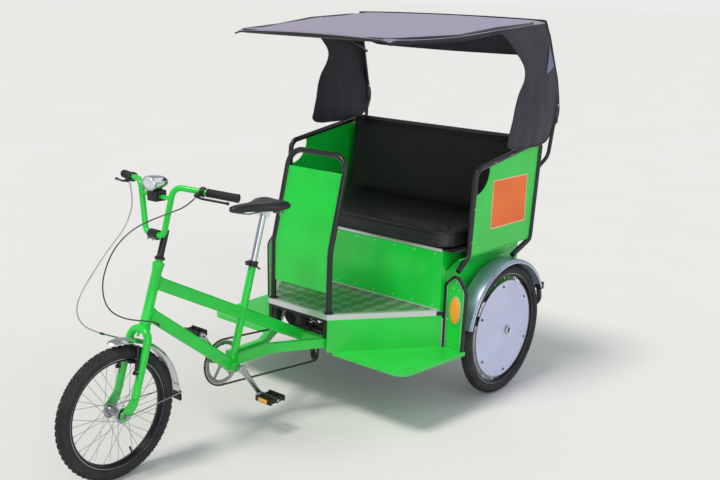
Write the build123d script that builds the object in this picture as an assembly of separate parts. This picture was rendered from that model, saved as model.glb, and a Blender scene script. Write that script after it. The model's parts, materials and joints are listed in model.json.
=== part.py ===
from build123d import *
import os
from math import atan2, cos, degrees, hypot, pi, radians, sin, sqrt, tan

# Cycle rickshaw: a bicycle front end that carries a two-seat cab on a driven rear axle.
# Millimetres. While it is modelled, x = 0 is the rear axle, y = 0 the centre plane and z = 0
# the ground; +X is forward and +Y is the vehicle's left. The export moves it so that the
# origin is under the middle of the whole vehicle.

# Wheels and stance
WHEELBASE = 1745.0
TRACK = 1120.0
FRONT_TYRE_R = 257.0
REAR_TYRE_R = 307.5
TYRE_WIDTH = 54.0
TYRE_FACETS = 8
RIM_DEPTH = 16.0
RIM_WIDTH = 32.0
RIM_SEAT = 45.0            # from the tread down to the rim's outer face
SEAT_GAP = 0.3             # between pieces that rest on each other
RUN_GAP = 0.05             # radial gap of a turning shaft in its bore
BEND_STEP = 30.0           # turn of each mitre in a bent tube, in degrees
SPOKES = 36
SPOKE_R = 1.2
SPOKE_SIDES = 4
HUB_FLANGE_R = 29.0
HUB_BARREL_R = 17.0
FRONT_HUB_HALF = 46.0
REAR_HUB_HALF = 36.0
FRONT_AXLE_R = 5.0
REAR_AXLE_R = 10.0
COVER_R = 229.0
COVER_RIM_Y = 8.0
COVER_T = 2.0

# Steering
HEAD_ANGLE = 73.0
FORK_OFFSET = 41.0
HEAD_LOW = 348.0
HEAD_HIGH = 560.0
HEAD_R = 19.0
HEAD_BORE_R = 15.0
CUP_R = 22.5
CUP_LOW_H = 10.0
CUP_HIGH_H = 15.0
STEERER_R = 14.3
FORK_HALF = 52.0
FORK_FORE = 14.0
FORK_LOW = 70.0
PAD_GAP = 5.0
FRONT_FENDER_R = 285.0
FORK_LEG_R = 15.0
CROWN_DROP = 26.0
DROPOUT_T = 6.0
STEM_R = 13.0
STEM_RISE = 115.0
STEM_REACH = 49.0
CLAMP_R = 19.0
CLAMP_WIDTH = 44.0
BAR_R = 11.1
BAR_RISE = 190.0
BAR_HALF = 322.0
BAR_FOOT_HALF = 50.0
BAR_SHOULDER_HALF = 94.0
BAR_SWEEP = 100.0
BAR_DROP = 22.0
GRIP_R = 16.0
GRIP_LENGTH = 118.0

# Bicycle frame
BB_X = 1170.0
BB_Z = 288.0
BB_R = 20.0
BB_HALF = 34.0
SPINDLE_R = 8.5
MAIN_TUBE_HEIGHT = 50.0
MAIN_TUBE_WIDTH = 30.0
TOP_TUBE_HEAD_S = 500.0
DOWN_TUBE_HEAD_S = 382.0
TOP_TUBE_FOOT_X = 742.0
SEAT_TUBE_GRIP = 160.0
SEAT_TUBE_ANGLE = 74.0
SEAT_TUBE_R = 16.0
SEAT_TUBE_LENGTH = 440.0
SEAT_POST_R = 13.5
SADDLE_TOP_Z = 958.0
SADDLE_LENGTH = 270.0
SADDLE_NOSE = 184.0
SADDLE_WIDTH = 190.0

# Cab plan and levels
FLOOR_Z = 455.0
DECK_T = 5.0
POST_X = 768.0
POST_Y = 168.0
CORNER_X = 360.0
DECK_HALF = 484.0
CAB_REAR_X = -232.0
BOX_FRONT_X = 390.0
SEAT_BASE_Z = 735.0
SEAT_BASE_T = 6.0
SHEET = 3.0
RAIL_H = 40.0
RAIL_W = 26.0
RAIL_Z = 322.0
STAY_Y = 29.0
STAY_BEND_X = 975.0
DECK_TUBE = 30.0
TRIM_HEIGHT = 22.0
TRIM_LEG = 18.0
STEP_Z = 290.0
STEP_FRONT_X = 760.0
STEP_HALF = 575.0
STEP_REAR_HALF = 602.0
HOOP_STEP_GAP = 4.0        # from a corner hoop's outer leg in to the step's edge
STEP_LIP = 14.0
STEP_CORNER_R = 60.0

# Cab upper works
FRAME_TUBE_R = 12.5
SIDE_Y = 545.0
SHIELD_TOP_Z = 1122.0
SHIELD_BEND_Z = 720.0
SHIELD_LEAN = 103.0
SHIELD_PANEL_LOW_Z = 545.0
SHIELD_PANEL_HIGH_Z = 1050.0
HOOP_R = 8.0
CORNER_OUT_Y = STEP_REAR_HALF - HOOP_STEP_GAP
CORNER_SHOULDER_Z = 557.0
CORNER_PEAK_Z = 630.0
REFLECTOR_Z = 468.0
REFLECTOR_HALF_W = 26.0
REFLECTOR_HALF_H = 60.0
REFLECTOR_T = 9.0
SIDE_RAIL_FRONT_Z = 1072.0
SIDE_RAIL_REAR_Z = 1160.0
SIDE_LOW_Z = 693.0
SIDE_FRONT_X = 285.0
SIDE_REAR_X = -268.0
SIGN_WIDTH = 290.0
SIGN_HEIGHT = 220.0
SIGN_X = -20.0
SIGN_Z = 903.0
SIGN_T = 1.5
CUSHION_HALF = 522.0
CUSHION_FRONT_X = 412.0
CUSHION_T = 82.0
BACK_LOW_T = 105.0
BACK_TOP_T = 80.0
BACK_TOP_Z = 1186.0
BACK_OFFSET = 22.3
FENDER_R = 331.0
FENDER_HALF = 44.0
FENDER_SEAT = 10.7         # from the fender up to the middle of the slanting tube end on it
FENDER_T = 3.0

# Canopy
HOOD_HALF = 585.0
HOOD_TOP_HALF = 550.0
HOOD_T = 4.0
HOOD_TOP_REAR_Z = 1705.0
HOOD_FOLD_FALL = 24.0      # from the roof's rear edge down to the line where the cheeks begin
HOOD_KNEE_FALL = 55.0
HOOD_FRONT_FALL = 73.0
HOOD_FRONT_X = 750.0
HOOD_FRONT_HALF = 430.0
HOOD_FOLD_X = 150.0
HOOD_KNEE_X = 400.0
HOOD_KNEE_DRAW = 20.0      # from the roof's widest half in to its half at the knee
HOOD_FLARE_Z = 1440.0      # the cheeks lean out from the roof's edge down to this height
CHEEK_HEM_X = 75.0
CHEEK_WAIST_X = -36.0
CHEEK_HEM_Z = 1172.0
CHEEK_WAIST_Z = 1470.0
HOOD_WAIST_Z = 1280.0
BOW_SEAT_Z = 1030.0
BOW_FOOT_Z = 1080.0
BOW_KNEE_Z = 1320.0
BOW_CORNER_DRAW = 90.0
HOOD_ROOF_REAR_X = -232.0
HOOD_REAR_X = -376.0
HOOD_BOTTOM_Z = 1142.0
REAR_DROP_Z = 1545.0       # lower edge of the cloth that hangs from the roof behind
VALANCE = 24.0
BOW_R = 9.0
BRACE_R = 6.0

# Drive
CRANK_LENGTH = 165.0
CRANK_ANGLE = 54.0
RING_TIP_R = 95.0
RING_TEETH = 48
RING_Y = -52.0
RING_T = 3.0
CHAIN_GAP = 3.0
CHAIN_HEIGHT = 8.0
CHAIN_WIDTH = 6.0
JACK_X = 620.0
JACK_Z = 306.0
JACK_TIP_R = 34.0
JACK_HALF = 102.0
REAR_RING_TIP_R = 70.0
REAR_RING_Y = 40.0
PULLEY_X = 604.0
PULLEY_Z = 166.0
PULLEY_TIP_R = 20.0
ARM_IN = 60.0
ARM_OUT = 74.0
PEDAL_IN = 84.0
PEDAL_OUT = 176.0
PEDAL_SPINDLE_R = 6.0
AXLE_TUBE_R = 24.0
AXLE_TUBE_END = 506.0
DIFF_R = 54.0
DIFF_IN = -66.0
DIFF_OUT = 32.0
BUMPER_X = -466.0
BUMPER_Z = 300.0
BUMPER_HALF = 500.0
BUMPER_TURN_X = 26.0
BUMPER_TURN_Z = 96.0
BUMPER_ARM_Y = 300.0
BUMPER_ARM_T = 8.0
BUMPER_BEND = 60.0

# Cables: points chosen along their lines, from the brake lever to the far end
CABLE_R = 2.5
BARREL_R = 4.5
BARREL_LENGTH = 24.0
FRONT_CABLE = [(1521, -168, 1002), (1546, -157, 946), (1587, -148, 896), (1640, -141, 855), (1693, -132, 813),
               (1740, -124, 768), (1784, -113, 730), (1822, -100, 692), (1844, -86, 654), (1839, -72, 612),
               (1802, -60, 576), (1756, -52, 554)]
REAR_CABLE = [(1533, 150, 1028), (1566, 108, 1006), (1618, 76, 984), (1670, 52, 962), (1717, 38, 931), (1759, 30, 889),
              (1788, 27, 840), (1810, 28, 782), (1812, 32, 725), (1794, 36, 676), (1752, 40, 640), (1698, 44, 616),
              (1641, 44, 600), (1592, 34, 581), (1560, 22, 560)]

nodes = {}


def rod(start, end, radius):
    """Round bar from one point to another."""
    start = Vector(start)
    axis = Vector(end) - start
    return extrude(Plane(origin=start, z_dir=axis) * Circle(radius), axis.length)


def beam(start, end, width, height):
    """Rectangular bar with its width held level."""
    start = Vector(start)
    axis = Vector(end) - start
    side = Vector(0, 0, 1).cross(axis)
    return extrude(Plane(origin=start, x_dir=side, z_dir=axis) * Rectangle(width, height), axis.length)


def arc_tube(points, radii, radius):
    """Round tube along straight runs joined by true arcs."""
    path = FilletPolyline(*points, radius=radii)
    return sweep(Plane(origin=path @ 0, z_dir=path % 0) * Circle(radius), path=path)


def bent_tube(points, radii, radius):
    """Round tube along straight runs, with each bend mitred in short steps along its arc."""
    points = [Vector(p) for p in points]
    route = [points[0]]
    for before, corner, after, bend in zip(points, points[1:], points[2:], radii):
        back = (before - corner).normalized()
        ahead = (after - corner).normalized()
        turn = radians(180 - back.get_angle(ahead))
        reach = bend * tan(turn / 2)
        centre = corner + (back + ahead).normalized() * hypot(reach, bend)
        steps = max(2, round(degrees(turn) / BEND_STEP))
        start = corner + back * reach - centre
        axis = back.cross(ahead)
        for i in range(steps + 1):
            route.append(centre + start.rotate(Axis((0, 0, 0), axis), -degrees(turn) * i / steps))
    route.append(points[-1])
    path = Polyline(*route)
    section = Plane(origin=path @ 0, z_dir=path % 0) * Circle(radius)
    return sweep(section, path=path, transition=Transition.RIGHT)


def cord(points, radius):
    """Cable of straight runs and tangent arcs, each arc as large as its two runs allow."""
    points = [Vector(p) for p in points]
    radii = []
    for before, corner, after in zip(points, points[1:], points[2:]):
        turn = 180 - (before - corner).get_angle(after - corner)
        run = min((corner - before).length, (after - corner).length)
        radii.append(0.45 * run / tan(radians(turn / 2)))
    print("cable radii", [round(r) for r in radii])
    return arc_tube(points, radii, radius)


def drum(radius, low, high, x=0.0, z=0.0):
    """Cylinder along Y, from low to high."""
    return Pos(x, (low + high) / 2, z) * Rot(90, 0, 0) * Cylinder(radius, high - low)


def side_plate(points, low, high, radius=0.0):
    """Outline in x and z, from y = low to y = high."""
    corners = [(x, low, z) for x, z in points]
    wire = FilletPolyline(*corners, radius=radius, close=True) if radius else Polyline(*corners, close=True)
    return extrude(make_face(wire), high - low, dir=(0, 1, 0))


def floor_plate(points, low, high, radius=0.0):
    """Outline in x and y, from z = low to z = high."""
    corners = [(x, y, low) for x, y in points]
    wire = FilletPolyline(*corners, radius=radius, close=True) if radius else Polyline(*corners, close=True)
    return extrude(make_face(wire), high - low, dir=(0, 0, 1))


def front_plate(points, low, high, radius=0.0):
    """Outline in y and z, from x = low to x = high."""
    corners = [(low, y, z) for y, z in points]
    wire = FilletPolyline(*corners, radius=radius, close=True) if radius else Polyline(*corners, close=True)
    return extrude(make_face(wire), high - low, dir=(1, 0, 0))


def block(low, high):
    """Box between two corners."""
    size = [high[i] - low[i] for i in range(3)]
    centre = [(high[i] + low[i]) / 2 for i in range(3)]
    return Pos(*centre) * Box(*size)


def right_hand(solid):
    """The same piece on the vehicle's right."""
    return mirror(solid, about=Plane.XZ)


def largest(shape):
    """The main solid of a cut."""
    return shape.solids().sort_by(SortBy.VOLUME)[-1]


def both(solid):
    """A left piece with its right twin."""
    return Compound(children=[solid, right_hand(solid)])


# The steering axis
AXIS_UP = Vector(-cos(radians(HEAD_ANGLE)), 0, sin(radians(HEAD_ANGLE)))
AXIS_FORE = Vector(sin(radians(HEAD_ANGLE)), 0, cos(radians(HEAD_ANGLE)))
FRONT_AXLE = Vector(WHEELBASE, 0, FRONT_TYRE_R)
AXIS_FOOT = FRONT_AXLE - AXIS_FORE * FORK_OFFSET


def on_axis(along, fore=0.0, y=0.0):
    """Point at a distance up the steering axis, moved forward and sideways."""
    return AXIS_FOOT + AXIS_UP * along + AXIS_FORE * fore + Vector(0, y, 0)


def axis_drum(radius, low, high):
    """Cylinder about the steering axis."""
    return rod(on_axis(low), on_axis(high), radius)


CROWN_TOP = HEAD_LOW - CUP_LOW_H - SEAT_GAP
STEM_FOOT = HEAD_HIGH + CUP_HIGH_H + 10.0
BAR_CENTRE = on_axis(STEM_FOOT + STEM_RISE - 25.0, STEM_REACH)


# Wheels

def tyre(radius):
    """Round-section tyre with its bore on the rim's seat."""
    half = TYRE_WIDTH / 2
    seat = radius - RIM_SEAT + SEAT_GAP
    drop = radius - half - seat
    edge = sqrt(half ** 2 - drop ** 2)
    widest = atan2(edge, -drop)
    profile = []
    for i in range(TYRE_FACETS + 1):
        angle = widest * (2 * i / TYRE_FACETS - 1)
        profile.append((radius - half + half * cos(angle), 0, half * sin(angle)))
    face = make_face(Polyline(*profile, close=True))
    return Rot(90, 0, 0) * revolve(face, axis=Axis.Z)


def rim(radius):
    """Box-section rim with a well for the tyre."""
    outer = radius - RIM_SEAT
    half = RIM_WIDTH / 2
    profile = [(outer, -half), (outer, half), (outer - 7, half), (outer - RIM_DEPTH, half * 0.4),
               (outer - RIM_DEPTH, -half * 0.4), (outer - 7, -half)]
    face = make_face(Polyline(*[(x, 0, y) for x, y in profile], close=True))
    return Rot(90, 0, 0) * revolve(face, axis=Axis.Z)


def spokes(radius, hub_half):
    """Crossed spokes from two flanges to the rim."""
    reach = radius - RIM_SEAT - RIM_DEPTH + 3
    wires = []
    for i in range(SPOKES):
        side = 1 if i % 2 else -1
        lead = 1 if (i // 2) % 2 else -1
        rim_angle = 2 * pi * i / SPOKES
        hub_angle = rim_angle + lead * radians(62)
        flange = HUB_FLANGE_R - 4
        y = side * (hub_half - 8) + lead * 1.4
        start = (flange * cos(hub_angle), y, flange * sin(hub_angle))
        end = (reach * cos(rim_angle), side * 2.5, reach * sin(rim_angle))
        axis = Vector(end) - Vector(start)
        section = Plane(origin=start, z_dir=axis) * RegularPolygon(SPOKE_R, SPOKE_SIDES)
        wires.append(extrude(section, axis.length))
    return wires


def hub(hub_half, bore):
    """Barrel with two spoke flanges."""
    body = drum(HUB_BARREL_R, -hub_half, hub_half)
    for side in (-1, 1):
        y = side * (hub_half - 8)
        body += drum(HUB_FLANGE_R, y - 3, y + 3)
    if bore:
        body -= drum(bore, -hub_half - 1, hub_half + 1)
    return body


def wire_wheel(radius, hub_half, bore):
    """Rim, spokes and hub as one laced wheel."""
    return (rim(radius) + hub(hub_half, bore)).fuse(*spokes(radius, hub_half))


def front_wheel():
    place = Pos(*FRONT_AXLE)
    nodes["front_tyre"] = place * tyre(FRONT_TYRE_R)
    nodes["front_wheel_laced"] = place * wire_wheel(FRONT_TYRE_R, FRONT_HUB_HALF, FRONT_AXLE_R + RUN_GAP)


def rear_wheels():
    half = TRACK / 2
    shaft_in = half - AXLE_TUBE_END + 42.0
    laced = wire_wheel(REAR_TYRE_R, REAR_HUB_HALF, 0)
    laced += drum(REAR_AXLE_R, -shaft_in, 0)
    laced += drum(HUB_BARREL_R + 4, REAR_HUB_HALF - 1, REAR_HUB_HALF + 12)
    flange_face = REAR_HUB_HALF - 5
    bore, crown, low = HUB_BARREL_R + 0.5, HUB_FLANGE_R + 10, flange_face + SEAT_GAP
    dish = [(bore, low), (crown, low), (COVER_R, COVER_RIM_Y + 4), (COVER_R, COVER_RIM_Y + 4 + COVER_T),
            (crown, low + COVER_T), (bore, low + COVER_T)]
    face = make_face(Polyline(*[(x, 0, -y) for x, y in dish], close=True))
    cover = Rot(90, 0, 0) * revolve(face, axis=Axis.Z)
    place = Pos(0, half, REAR_TYRE_R)
    for side, turn in (("left", lambda s: s), ("right", right_hand)):
        nodes[f"rear_tyre_{side}"] = turn(place * tyre(REAR_TYRE_R))
        nodes[f"rear_wheel_laced_{side}"] = turn(place * laced)
        nodes[f"wheel_cover_{side}"] = turn(place * cover)


# Bicycle frame

def bicycle_frame():
    head_outer = axis_drum(HEAD_R, HEAD_LOW, HEAD_HIGH)
    cups = axis_drum(CUP_R, HEAD_LOW - CUP_LOW_H, HEAD_LOW) + axis_drum(CUP_R, HEAD_HIGH, HEAD_HIGH + CUP_HIGH_H)
    nodes["head_tube"] = head_outer + cups - axis_drum(HEAD_BORE_R, HEAD_LOW - 50, HEAD_HIGH + 50)

    bb = Vector(BB_X, 0, BB_Z)
    lean = Vector(-cos(radians(SEAT_TUBE_ANGLE)), 0, sin(radians(SEAT_TUBE_ANGLE)))
    seat_top = bb + lean * SEAT_TUBE_LENGTH
    column = rod(bb, seat_top, SEAT_TUBE_R) + drum(BB_R, -BB_HALF, BB_HALF, BB_X, BB_Z)
    cross = block((TOP_TUBE_FOOT_X, -POST_Y, RAIL_Z - RAIL_H / 2),
                  (TOP_TUBE_FOOT_X + DECK_TUBE, POST_Y, RAIL_Z + RAIL_H / 2))
    top_tube = beam(on_axis(TOP_TUBE_HEAD_S), (TOP_TUBE_FOOT_X, 0, RAIL_Z), MAIN_TUBE_WIDTH, MAIN_TUBE_HEIGHT)
    halves = (top_tube - head_outer - cross - column).solids().sort_by(SortBy.VOLUME)[-2:].sort_by(Axis.X)
    nodes["top_tube_rear"] = halves[0]
    nodes["top_tube_front"] = halves[-1]
    down_tube = beam(on_axis(DOWN_TUBE_HEAD_S), bb, MAIN_TUBE_WIDTH, MAIN_TUBE_HEIGHT)
    stop = rod(REAR_CABLE[-1], Vector(REAR_CABLE[-1]) + Vector(-20, -7, -14), CABLE_R + 2.5)
    nodes["down_tube"] = largest(down_tube + stop - head_outer - cups - column)
    column += rod(seat_top - lean * 24, seat_top, SEAT_TUBE_R + 5)
    column -= rod(seat_top - lean * SEAT_TUBE_GRIP, seat_top + lean, SEAT_POST_R + SEAT_GAP)
    nodes["seat_tube"] = column - drum(SPINDLE_R + RUN_GAP, -BB_HALF - 1, BB_HALF + 1, BB_X, BB_Z)
    rail_z = SADDLE_TOP_Z - 52.0
    post_top = bb + lean * ((rail_z - BB_Z) / lean.Z)
    clamp = drum(14.0, -26.0, 26.0, post_top.X, post_top.Z - 4)
    nodes["seat_post"] = rod(seat_top - lean * (SEAT_TUBE_GRIP - 10), post_top, SEAT_POST_R) + clamp
    saddle(post_top)


def saddle(post_top):
    """Wide saddle with a narrow nose, on its clamp."""
    base = post_top.Z + 10.0 + SEAT_GAP
    nose = post_top.X + SADDLE_NOSE
    tail = nose - SADDLE_LENGTH
    wide = SADDLE_WIDTH / 2
    outline = [(nose, -20), (nose, 20), (nose - SADDLE_LENGTH * 0.55, 34), (tail + 70, wide), (tail, wide * 0.7),
               (tail, -wide * 0.7), (tail + 70, -wide), (nose - SADDLE_LENGTH * 0.55, -34)]
    body = floor_plate(outline, base, SADDLE_TOP_Z, 16.0)
    nodes["saddle"] = fillet(body.faces().sort_by(Axis.Z)[-1].edges(), 14.0)


# Steering pieces

def fork():
    crown = CROWN_TOP - CROWN_DROP
    top = crown + 8
    route = [on_axis(FORK_LOW, FORK_FORE, FORK_HALF), on_axis(top, FORK_FORE, FORK_HALF),
             on_axis(top, FORK_FORE, -FORK_HALF), on_axis(FORK_LOW, FORK_FORE, -FORK_HALF)]
    body = arc_tube(route, [44, 44], FORK_LEG_R)
    body += axis_drum(CUP_R + 1, crown - 6, CROWN_TOP - 6)
    body += axis_drum(CUP_R - 1, CROWN_TOP - 8, CROWN_TOP)
    body += axis_drum(STEERER_R, CROWN_TOP - 4, STEM_FOOT)
    outline = [(-6, 96), (22, 96), (58, 14), (58, -16), (26, -18), (-6, 40)]
    for side in (-1, 1):
        low, high = sorted((side * (FRONT_HUB_HALF + 4), side * (FRONT_HUB_HALF + 4 + DROPOUT_T)))
        points = [on_axis(along, fore) for fore, along in outline]
        body += side_plate([(p.X, p.Z) for p in points], low, high)
    fore = FORK_FORE + 8
    foot = sqrt((FRONT_FENDER_R + SEAT_GAP) ** 2 - (FORK_OFFSET - fore) ** 2) + 0.6
    body += rod(on_axis(foot, fore), on_axis(crown + 6, fore), 6.0)
    reach = FRONT_HUB_HALF + 4.0 + DROPOUT_T
    body += drum(FRONT_AXLE_R, -reach - 8, reach + 8, FRONT_AXLE.X, FRONT_AXLE.Z)
    for side in (-1, 1):
        low, high = sorted((side * reach, side * (reach + 7)))
        body += drum(9.5, low, high, FRONT_AXLE.X, FRONT_AXLE.Z)
        low, high = sorted((side * (FRONT_HUB_HALF + SEAT_GAP), side * (FRONT_HUB_HALF + 4)))
        body += drum(8.0, low, high, FRONT_AXLE.X, FRONT_AXLE.Z)
    nodes["fork"] = body
    front_brake()


def front_brake():
    """Pair of lever arms with pads beside the rim."""
    pad_r = FRONT_TYRE_R - RIM_SEAT - RIM_DEPTH + 4
    fore = FORK_FORE + FORK_LEG_R + 9.0
    along = sqrt(pad_r ** 2 - (fore - FORK_OFFSET) ** 2)
    pad_y = RIM_WIDTH / 2 + PAD_GAP
    pivot = rod(on_axis(along - 34, FORK_FORE + FORK_LEG_R - 1, FORK_HALF), on_axis(along - 34, fore + 6, FORK_HALF), 6.0)
    arm = beam(on_axis(along - 36, fore, FORK_HALF), on_axis(along + 64, fore, FORK_HALF - 20), 9.0, 12.0)
    pad = block((-24, pad_y, -5), (24, pad_y + 10, 5))
    pad = Pos(*on_axis(along, fore)) * Rot(0, HEAD_ANGLE - 90, 0) * pad
    post = rod(on_axis(along, fore, pad_y + 9), on_axis(along, fore, FORK_HALF - 6), 4.0)
    side = pivot + arm + pad + post
    left = side - nodes["fork"]
    elbow = [FRONT_CABLE[-1], (1682, -58, 519), on_axis(along + 60, fore, -FORK_HALF + 17)]
    right = right_hand(left) + bent_tube(elbow, [14], CABLE_R + 0.7)
    nodes["front_brake"] = Compound(children=[left, right])


def bar_route():
    """Corner points of the left half of the handlebar, from its centre outwards."""
    c = BAR_CENTRE
    return [c, c + Vector(0, BAR_FOOT_HALF, 0), c + Vector(-14, BAR_SHOULDER_HALF, BAR_RISE),
            c + Vector(-14 - BAR_SWEEP, BAR_HALF, BAR_RISE - BAR_DROP)]


def handlebar():
    quill = axis_drum(STEM_R, STEM_FOOT, STEM_FOOT + STEM_RISE)
    arm = rod(on_axis(STEM_FOOT + STEM_RISE - 25.0), BAR_CENTRE, STEM_R)
    c = BAR_CENTRE
    clamp = drum(CLAMP_R, -CLAMP_WIDTH / 2, CLAMP_WIDTH / 2, c.X, c.Z)
    stem = quill + arm + clamp
    stem -= drum(BAR_R + SEAT_GAP, -CLAMP_WIDTH, CLAMP_WIDTH, c.X, c.Z)
    nodes["stem"] = stem
    half = bar_route()
    left = half[1:]
    right = [Vector(p.X, -p.Y, p.Z) for p in reversed(left)]
    bar = bent_tube(right + left, [42, 30, 30, 42], BAR_R)
    rise = (BAR_RISE - 46.0) / BAR_RISE
    brace_y = BAR_FOOT_HALF + (BAR_SHOULDER_HALF - BAR_FOOT_HALF) * rise
    brace = c + Vector(-14 * rise, 0, BAR_RISE * rise)
    bar += drum(8.0, -brace_y, brace_y, brace.X, brace.Z)
    nodes["handlebar"] = bar
    end = left[-1]
    inward = (left[-2] - left[-1]).normalized()
    grip = rod(end - inward * 4, end + inward * GRIP_LENGTH, GRIP_R)
    grip -= rod(end, end + inward * (GRIP_LENGTH + 5), BAR_R + SEAT_GAP)
    nodes["grips"] = both(grip)
    brake_levers(end, inward)
    headlamp(brace)


def brake_levers(end, inward):
    """Clamp ring, body and blade of each brake lever."""
    seat = end + inward * (GRIP_LENGTH + 10)
    ring_part = rod(seat, seat + inward * 16, BAR_R + 7)
    level = Vector(1, 0, -0.35).normalized()
    pivot = seat + inward * 8 + level * 30
    body = beam(seat + inward * 8 + level * 12, pivot + level * 4, 18, 14)
    tip = end + inward * 6 + level * 44
    blade = rod(pivot, tip, 5.0)
    lever = (ring_part + body + blade) - rod(seat - inward * 5, seat + inward * 30, BAR_R + SEAT_GAP)
    root = seat + inward * 8 + level * 20
    levers = []
    for side, node, points in ((1, "rear_brake_cable", REAR_CABLE), (-1, "front_brake_cable", FRONT_CABLE)):
        start = Vector(root.X, root.Y * side, root.Z)
        mouth = start + (Vector(points[0]) - start).normalized() * BARREL_LENGTH
        hand = lever if side > 0 else right_hand(lever)
        levers.append(hand + rod(start, mouth, BARREL_R))
        nodes[node] = cord([mouth] + points, CABLE_R)
    nodes["brake_levers"] = Compound(children=levers)


def headlamp(brace):
    """Box on the crossbar with a round lamp above it."""
    top = brace.Z + 8.0
    x = brace.X
    box = block((x - 30, -26, brace.Z - 20), (x + 26, 26, top + 14))
    z = top + 14 + 26
    shell = [(x - 34, 0), (x - 34, 12), (x - 20, 22), (x + 10, 27), (x + 34, 27), (x + 34, 0)]
    face = make_face(Polyline(*[(px, 0, z + r) for px, r in shell], close=True))
    body = revolve(face, axis=Axis((x, 0, z), (1, 0, 0)))
    lens = rod((x + 34 + SEAT_GAP, 0, z), (x + 40, 0, z), 25.0)
    nodes["headlamp"] = body + box - drum(8.0 + SEAT_GAP, -50, 50, brace.X, brace.Z)
    nodes["lamp_lens"] = lens


def front_fender():
    """Three-facet guard over the front tyre, with wire stays and a flap."""
    r, half, t = FRONT_FENDER_R, 34.0, 2.0
    outer = [(r - 13, -half), (r, -half * 0.45), (r, half * 0.45), (r - 13, half)]
    inner = [(x - t, y) for x, y in reversed(outer)]
    face = make_face(Polyline(*[(x, 0, y) for x, y in outer + inner], close=True))
    guard = Rot(90, 0, 0) * revolve(face, axis=Axis.Z, revolution_arc=96)
    x, z = FRONT_AXLE.X, FRONT_AXLE.Z
    heel = Vector(x - r + 8, 0, z + 8)
    guard = Pos(*FRONT_AXLE) * Rot(0, -83, 0) * guard
    for side in (1, -1):
        guard += rod(heel + Vector(0, side * half, 0), (x - 9.5 - 2.5 - SEAT_GAP, side * (FRONT_HUB_HALF + 15), z), 2.5)
    nodes["front_fender"] = guard


# Cab

def edge_offset(out):
    """Ends of the floor's slanting left edge, moved outwards."""
    front = Vector(POST_X + 12, POST_Y + 6)
    rear = Vector(CORNER_X + 2, DECK_HALF)
    along = (rear - front).normalized()
    normal = Vector(along.Y, -along.X)
    return front + normal * out, rear + normal * out


def edge_y(x, out=0.0):
    """Half width of the floor at a place on its slanting edge."""
    front, rear = edge_offset(out)
    return front.Y + (front.X - x) * (rear.Y - front.Y) / (front.X - rear.X)


def deck_outline(out=0.0):
    """Floor plan: narrow at the shield, full width at the corner panels."""
    front, rear, side = POST_X + 12 + out, CAB_REAR_X - out, DECK_HALF + out
    nose = edge_y(front, out)
    shoulder = front - (side - nose) * (POST_X + 12 - CORNER_X - 2) / (DECK_HALF - POST_Y - 6)
    left = [(front, nose), (shoulder, side), (rear, side)]
    return left + [(x, -y) for x, y in reversed(left)]


def chassis():
    """Lower rails that leave the bottom bracket and spread to the corner panels."""
    low, high = RAIL_Z - RAIL_H / 2, RAIL_Z + RAIL_H / 2
    body = block((TOP_TUBE_FOOT_X, -POST_Y + 24, low), (TOP_TUBE_FOOT_X + DECK_TUBE, POST_Y - 24, high))
    for side in (1, -1):
        route = [(BB_X - 4, side * (STAY_Y - 3), RAIL_Z), (STAY_BEND_X, side * STAY_Y, RAIL_Z),
                 (POST_X - 16, side * (POST_Y - 16), RAIL_Z), (CORNER_X + 16, side * (DECK_HALF - 34), RAIL_Z)]
        path = FilletPolyline(*route, radius=[60, 60])
        section = Plane(origin=path @ 0, x_dir=(0, 0, 1), z_dir=path % 0) * Rectangle(RAIL_H, RAIL_W)
        body += sweep(section, path=path)
    body = body - nodes["seat_tube"] - nodes["down_tube"]
    nodes["lower_rails"] = largest(body)


def deck():
    """Tread-plate floor on a frame of square tubes, with its posts and hangers."""
    nodes["floor_deck"] = floor_plate(deck_outline(), FLOOR_Z - DECK_T, FLOOR_Z)
    high = FLOOR_Z - DECK_T
    low = high - DECK_TUBE
    rail_top = RAIL_Z + RAIL_H / 2
    body = floor_plate(deck_outline(), low, high) - floor_plate(deck_outline(-DECK_TUBE), low - 1, high + 1)
    for x in (CORNER_X, JACK_X, 0.0):
        half = min(edge_y(x), DECK_HALF) - DECK_TUBE
        body += block((x - DECK_TUBE / 2, -half, low), (x + DECK_TUBE / 2, half, high))
    body += block((TOP_TUBE_FOOT_X, -MAIN_TUBE_WIDTH / 2, rail_top),
                  (TOP_TUBE_FOOT_X + DECK_TUBE, MAIN_TUBE_WIDTH / 2, low))
    for side in (1, -1):
        for x, y in ((POST_X - 16, POST_Y - 14), (CORNER_X + 20, DECK_HALF - 56)):
            low_y, high_y = sorted((side * (y - DECK_TUBE / 2), side * (y + DECK_TUBE / 2)))
            body += block((x - DECK_TUBE / 2, low_y, rail_top), (x + DECK_TUBE / 2, high_y, low))
        y = side * 300.0
        body += side_plate([(-70, low), (70, low), (36, REAR_TYRE_R - 4), (-36, REAR_TYRE_R - 4)], y - 4, y + 4)
        y = side * 92.0
        body += side_plate([(JACK_X - 26, low), (JACK_X + 26, low), (JACK_X + 18, JACK_Z - 20),
                            (JACK_X - 18, JACK_Z - 20)], y - 4, y + 4)
    body -= drum(AXLE_TUBE_R, -AXLE_TUBE_END, AXLE_TUBE_END, 0, REAR_TYRE_R)
    body -= drum(12.0, -200, 200, JACK_X, JACK_Z)
    nodes["deck_frame"] = largest(body - nodes["top_tube_rear"])


def edge_trim():
    """Light metal angle round the free edges of the floor."""
    low, high = FLOOR_Z - TRIM_HEIGHT, FLOOR_Z + 2
    wall = floor_plate(deck_outline(3), low, high) - floor_plate(deck_outline(), low - 1, FLOOR_Z)
    wall -= floor_plate(deck_outline(-TRIM_LEG), FLOOR_Z - 1, high + 1)
    keep = block((BOX_FRONT_X + SEAT_GAP, -800, 0), (2000, 800, 2000))
    nodes["floor_trim"] = wall & keep


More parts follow.
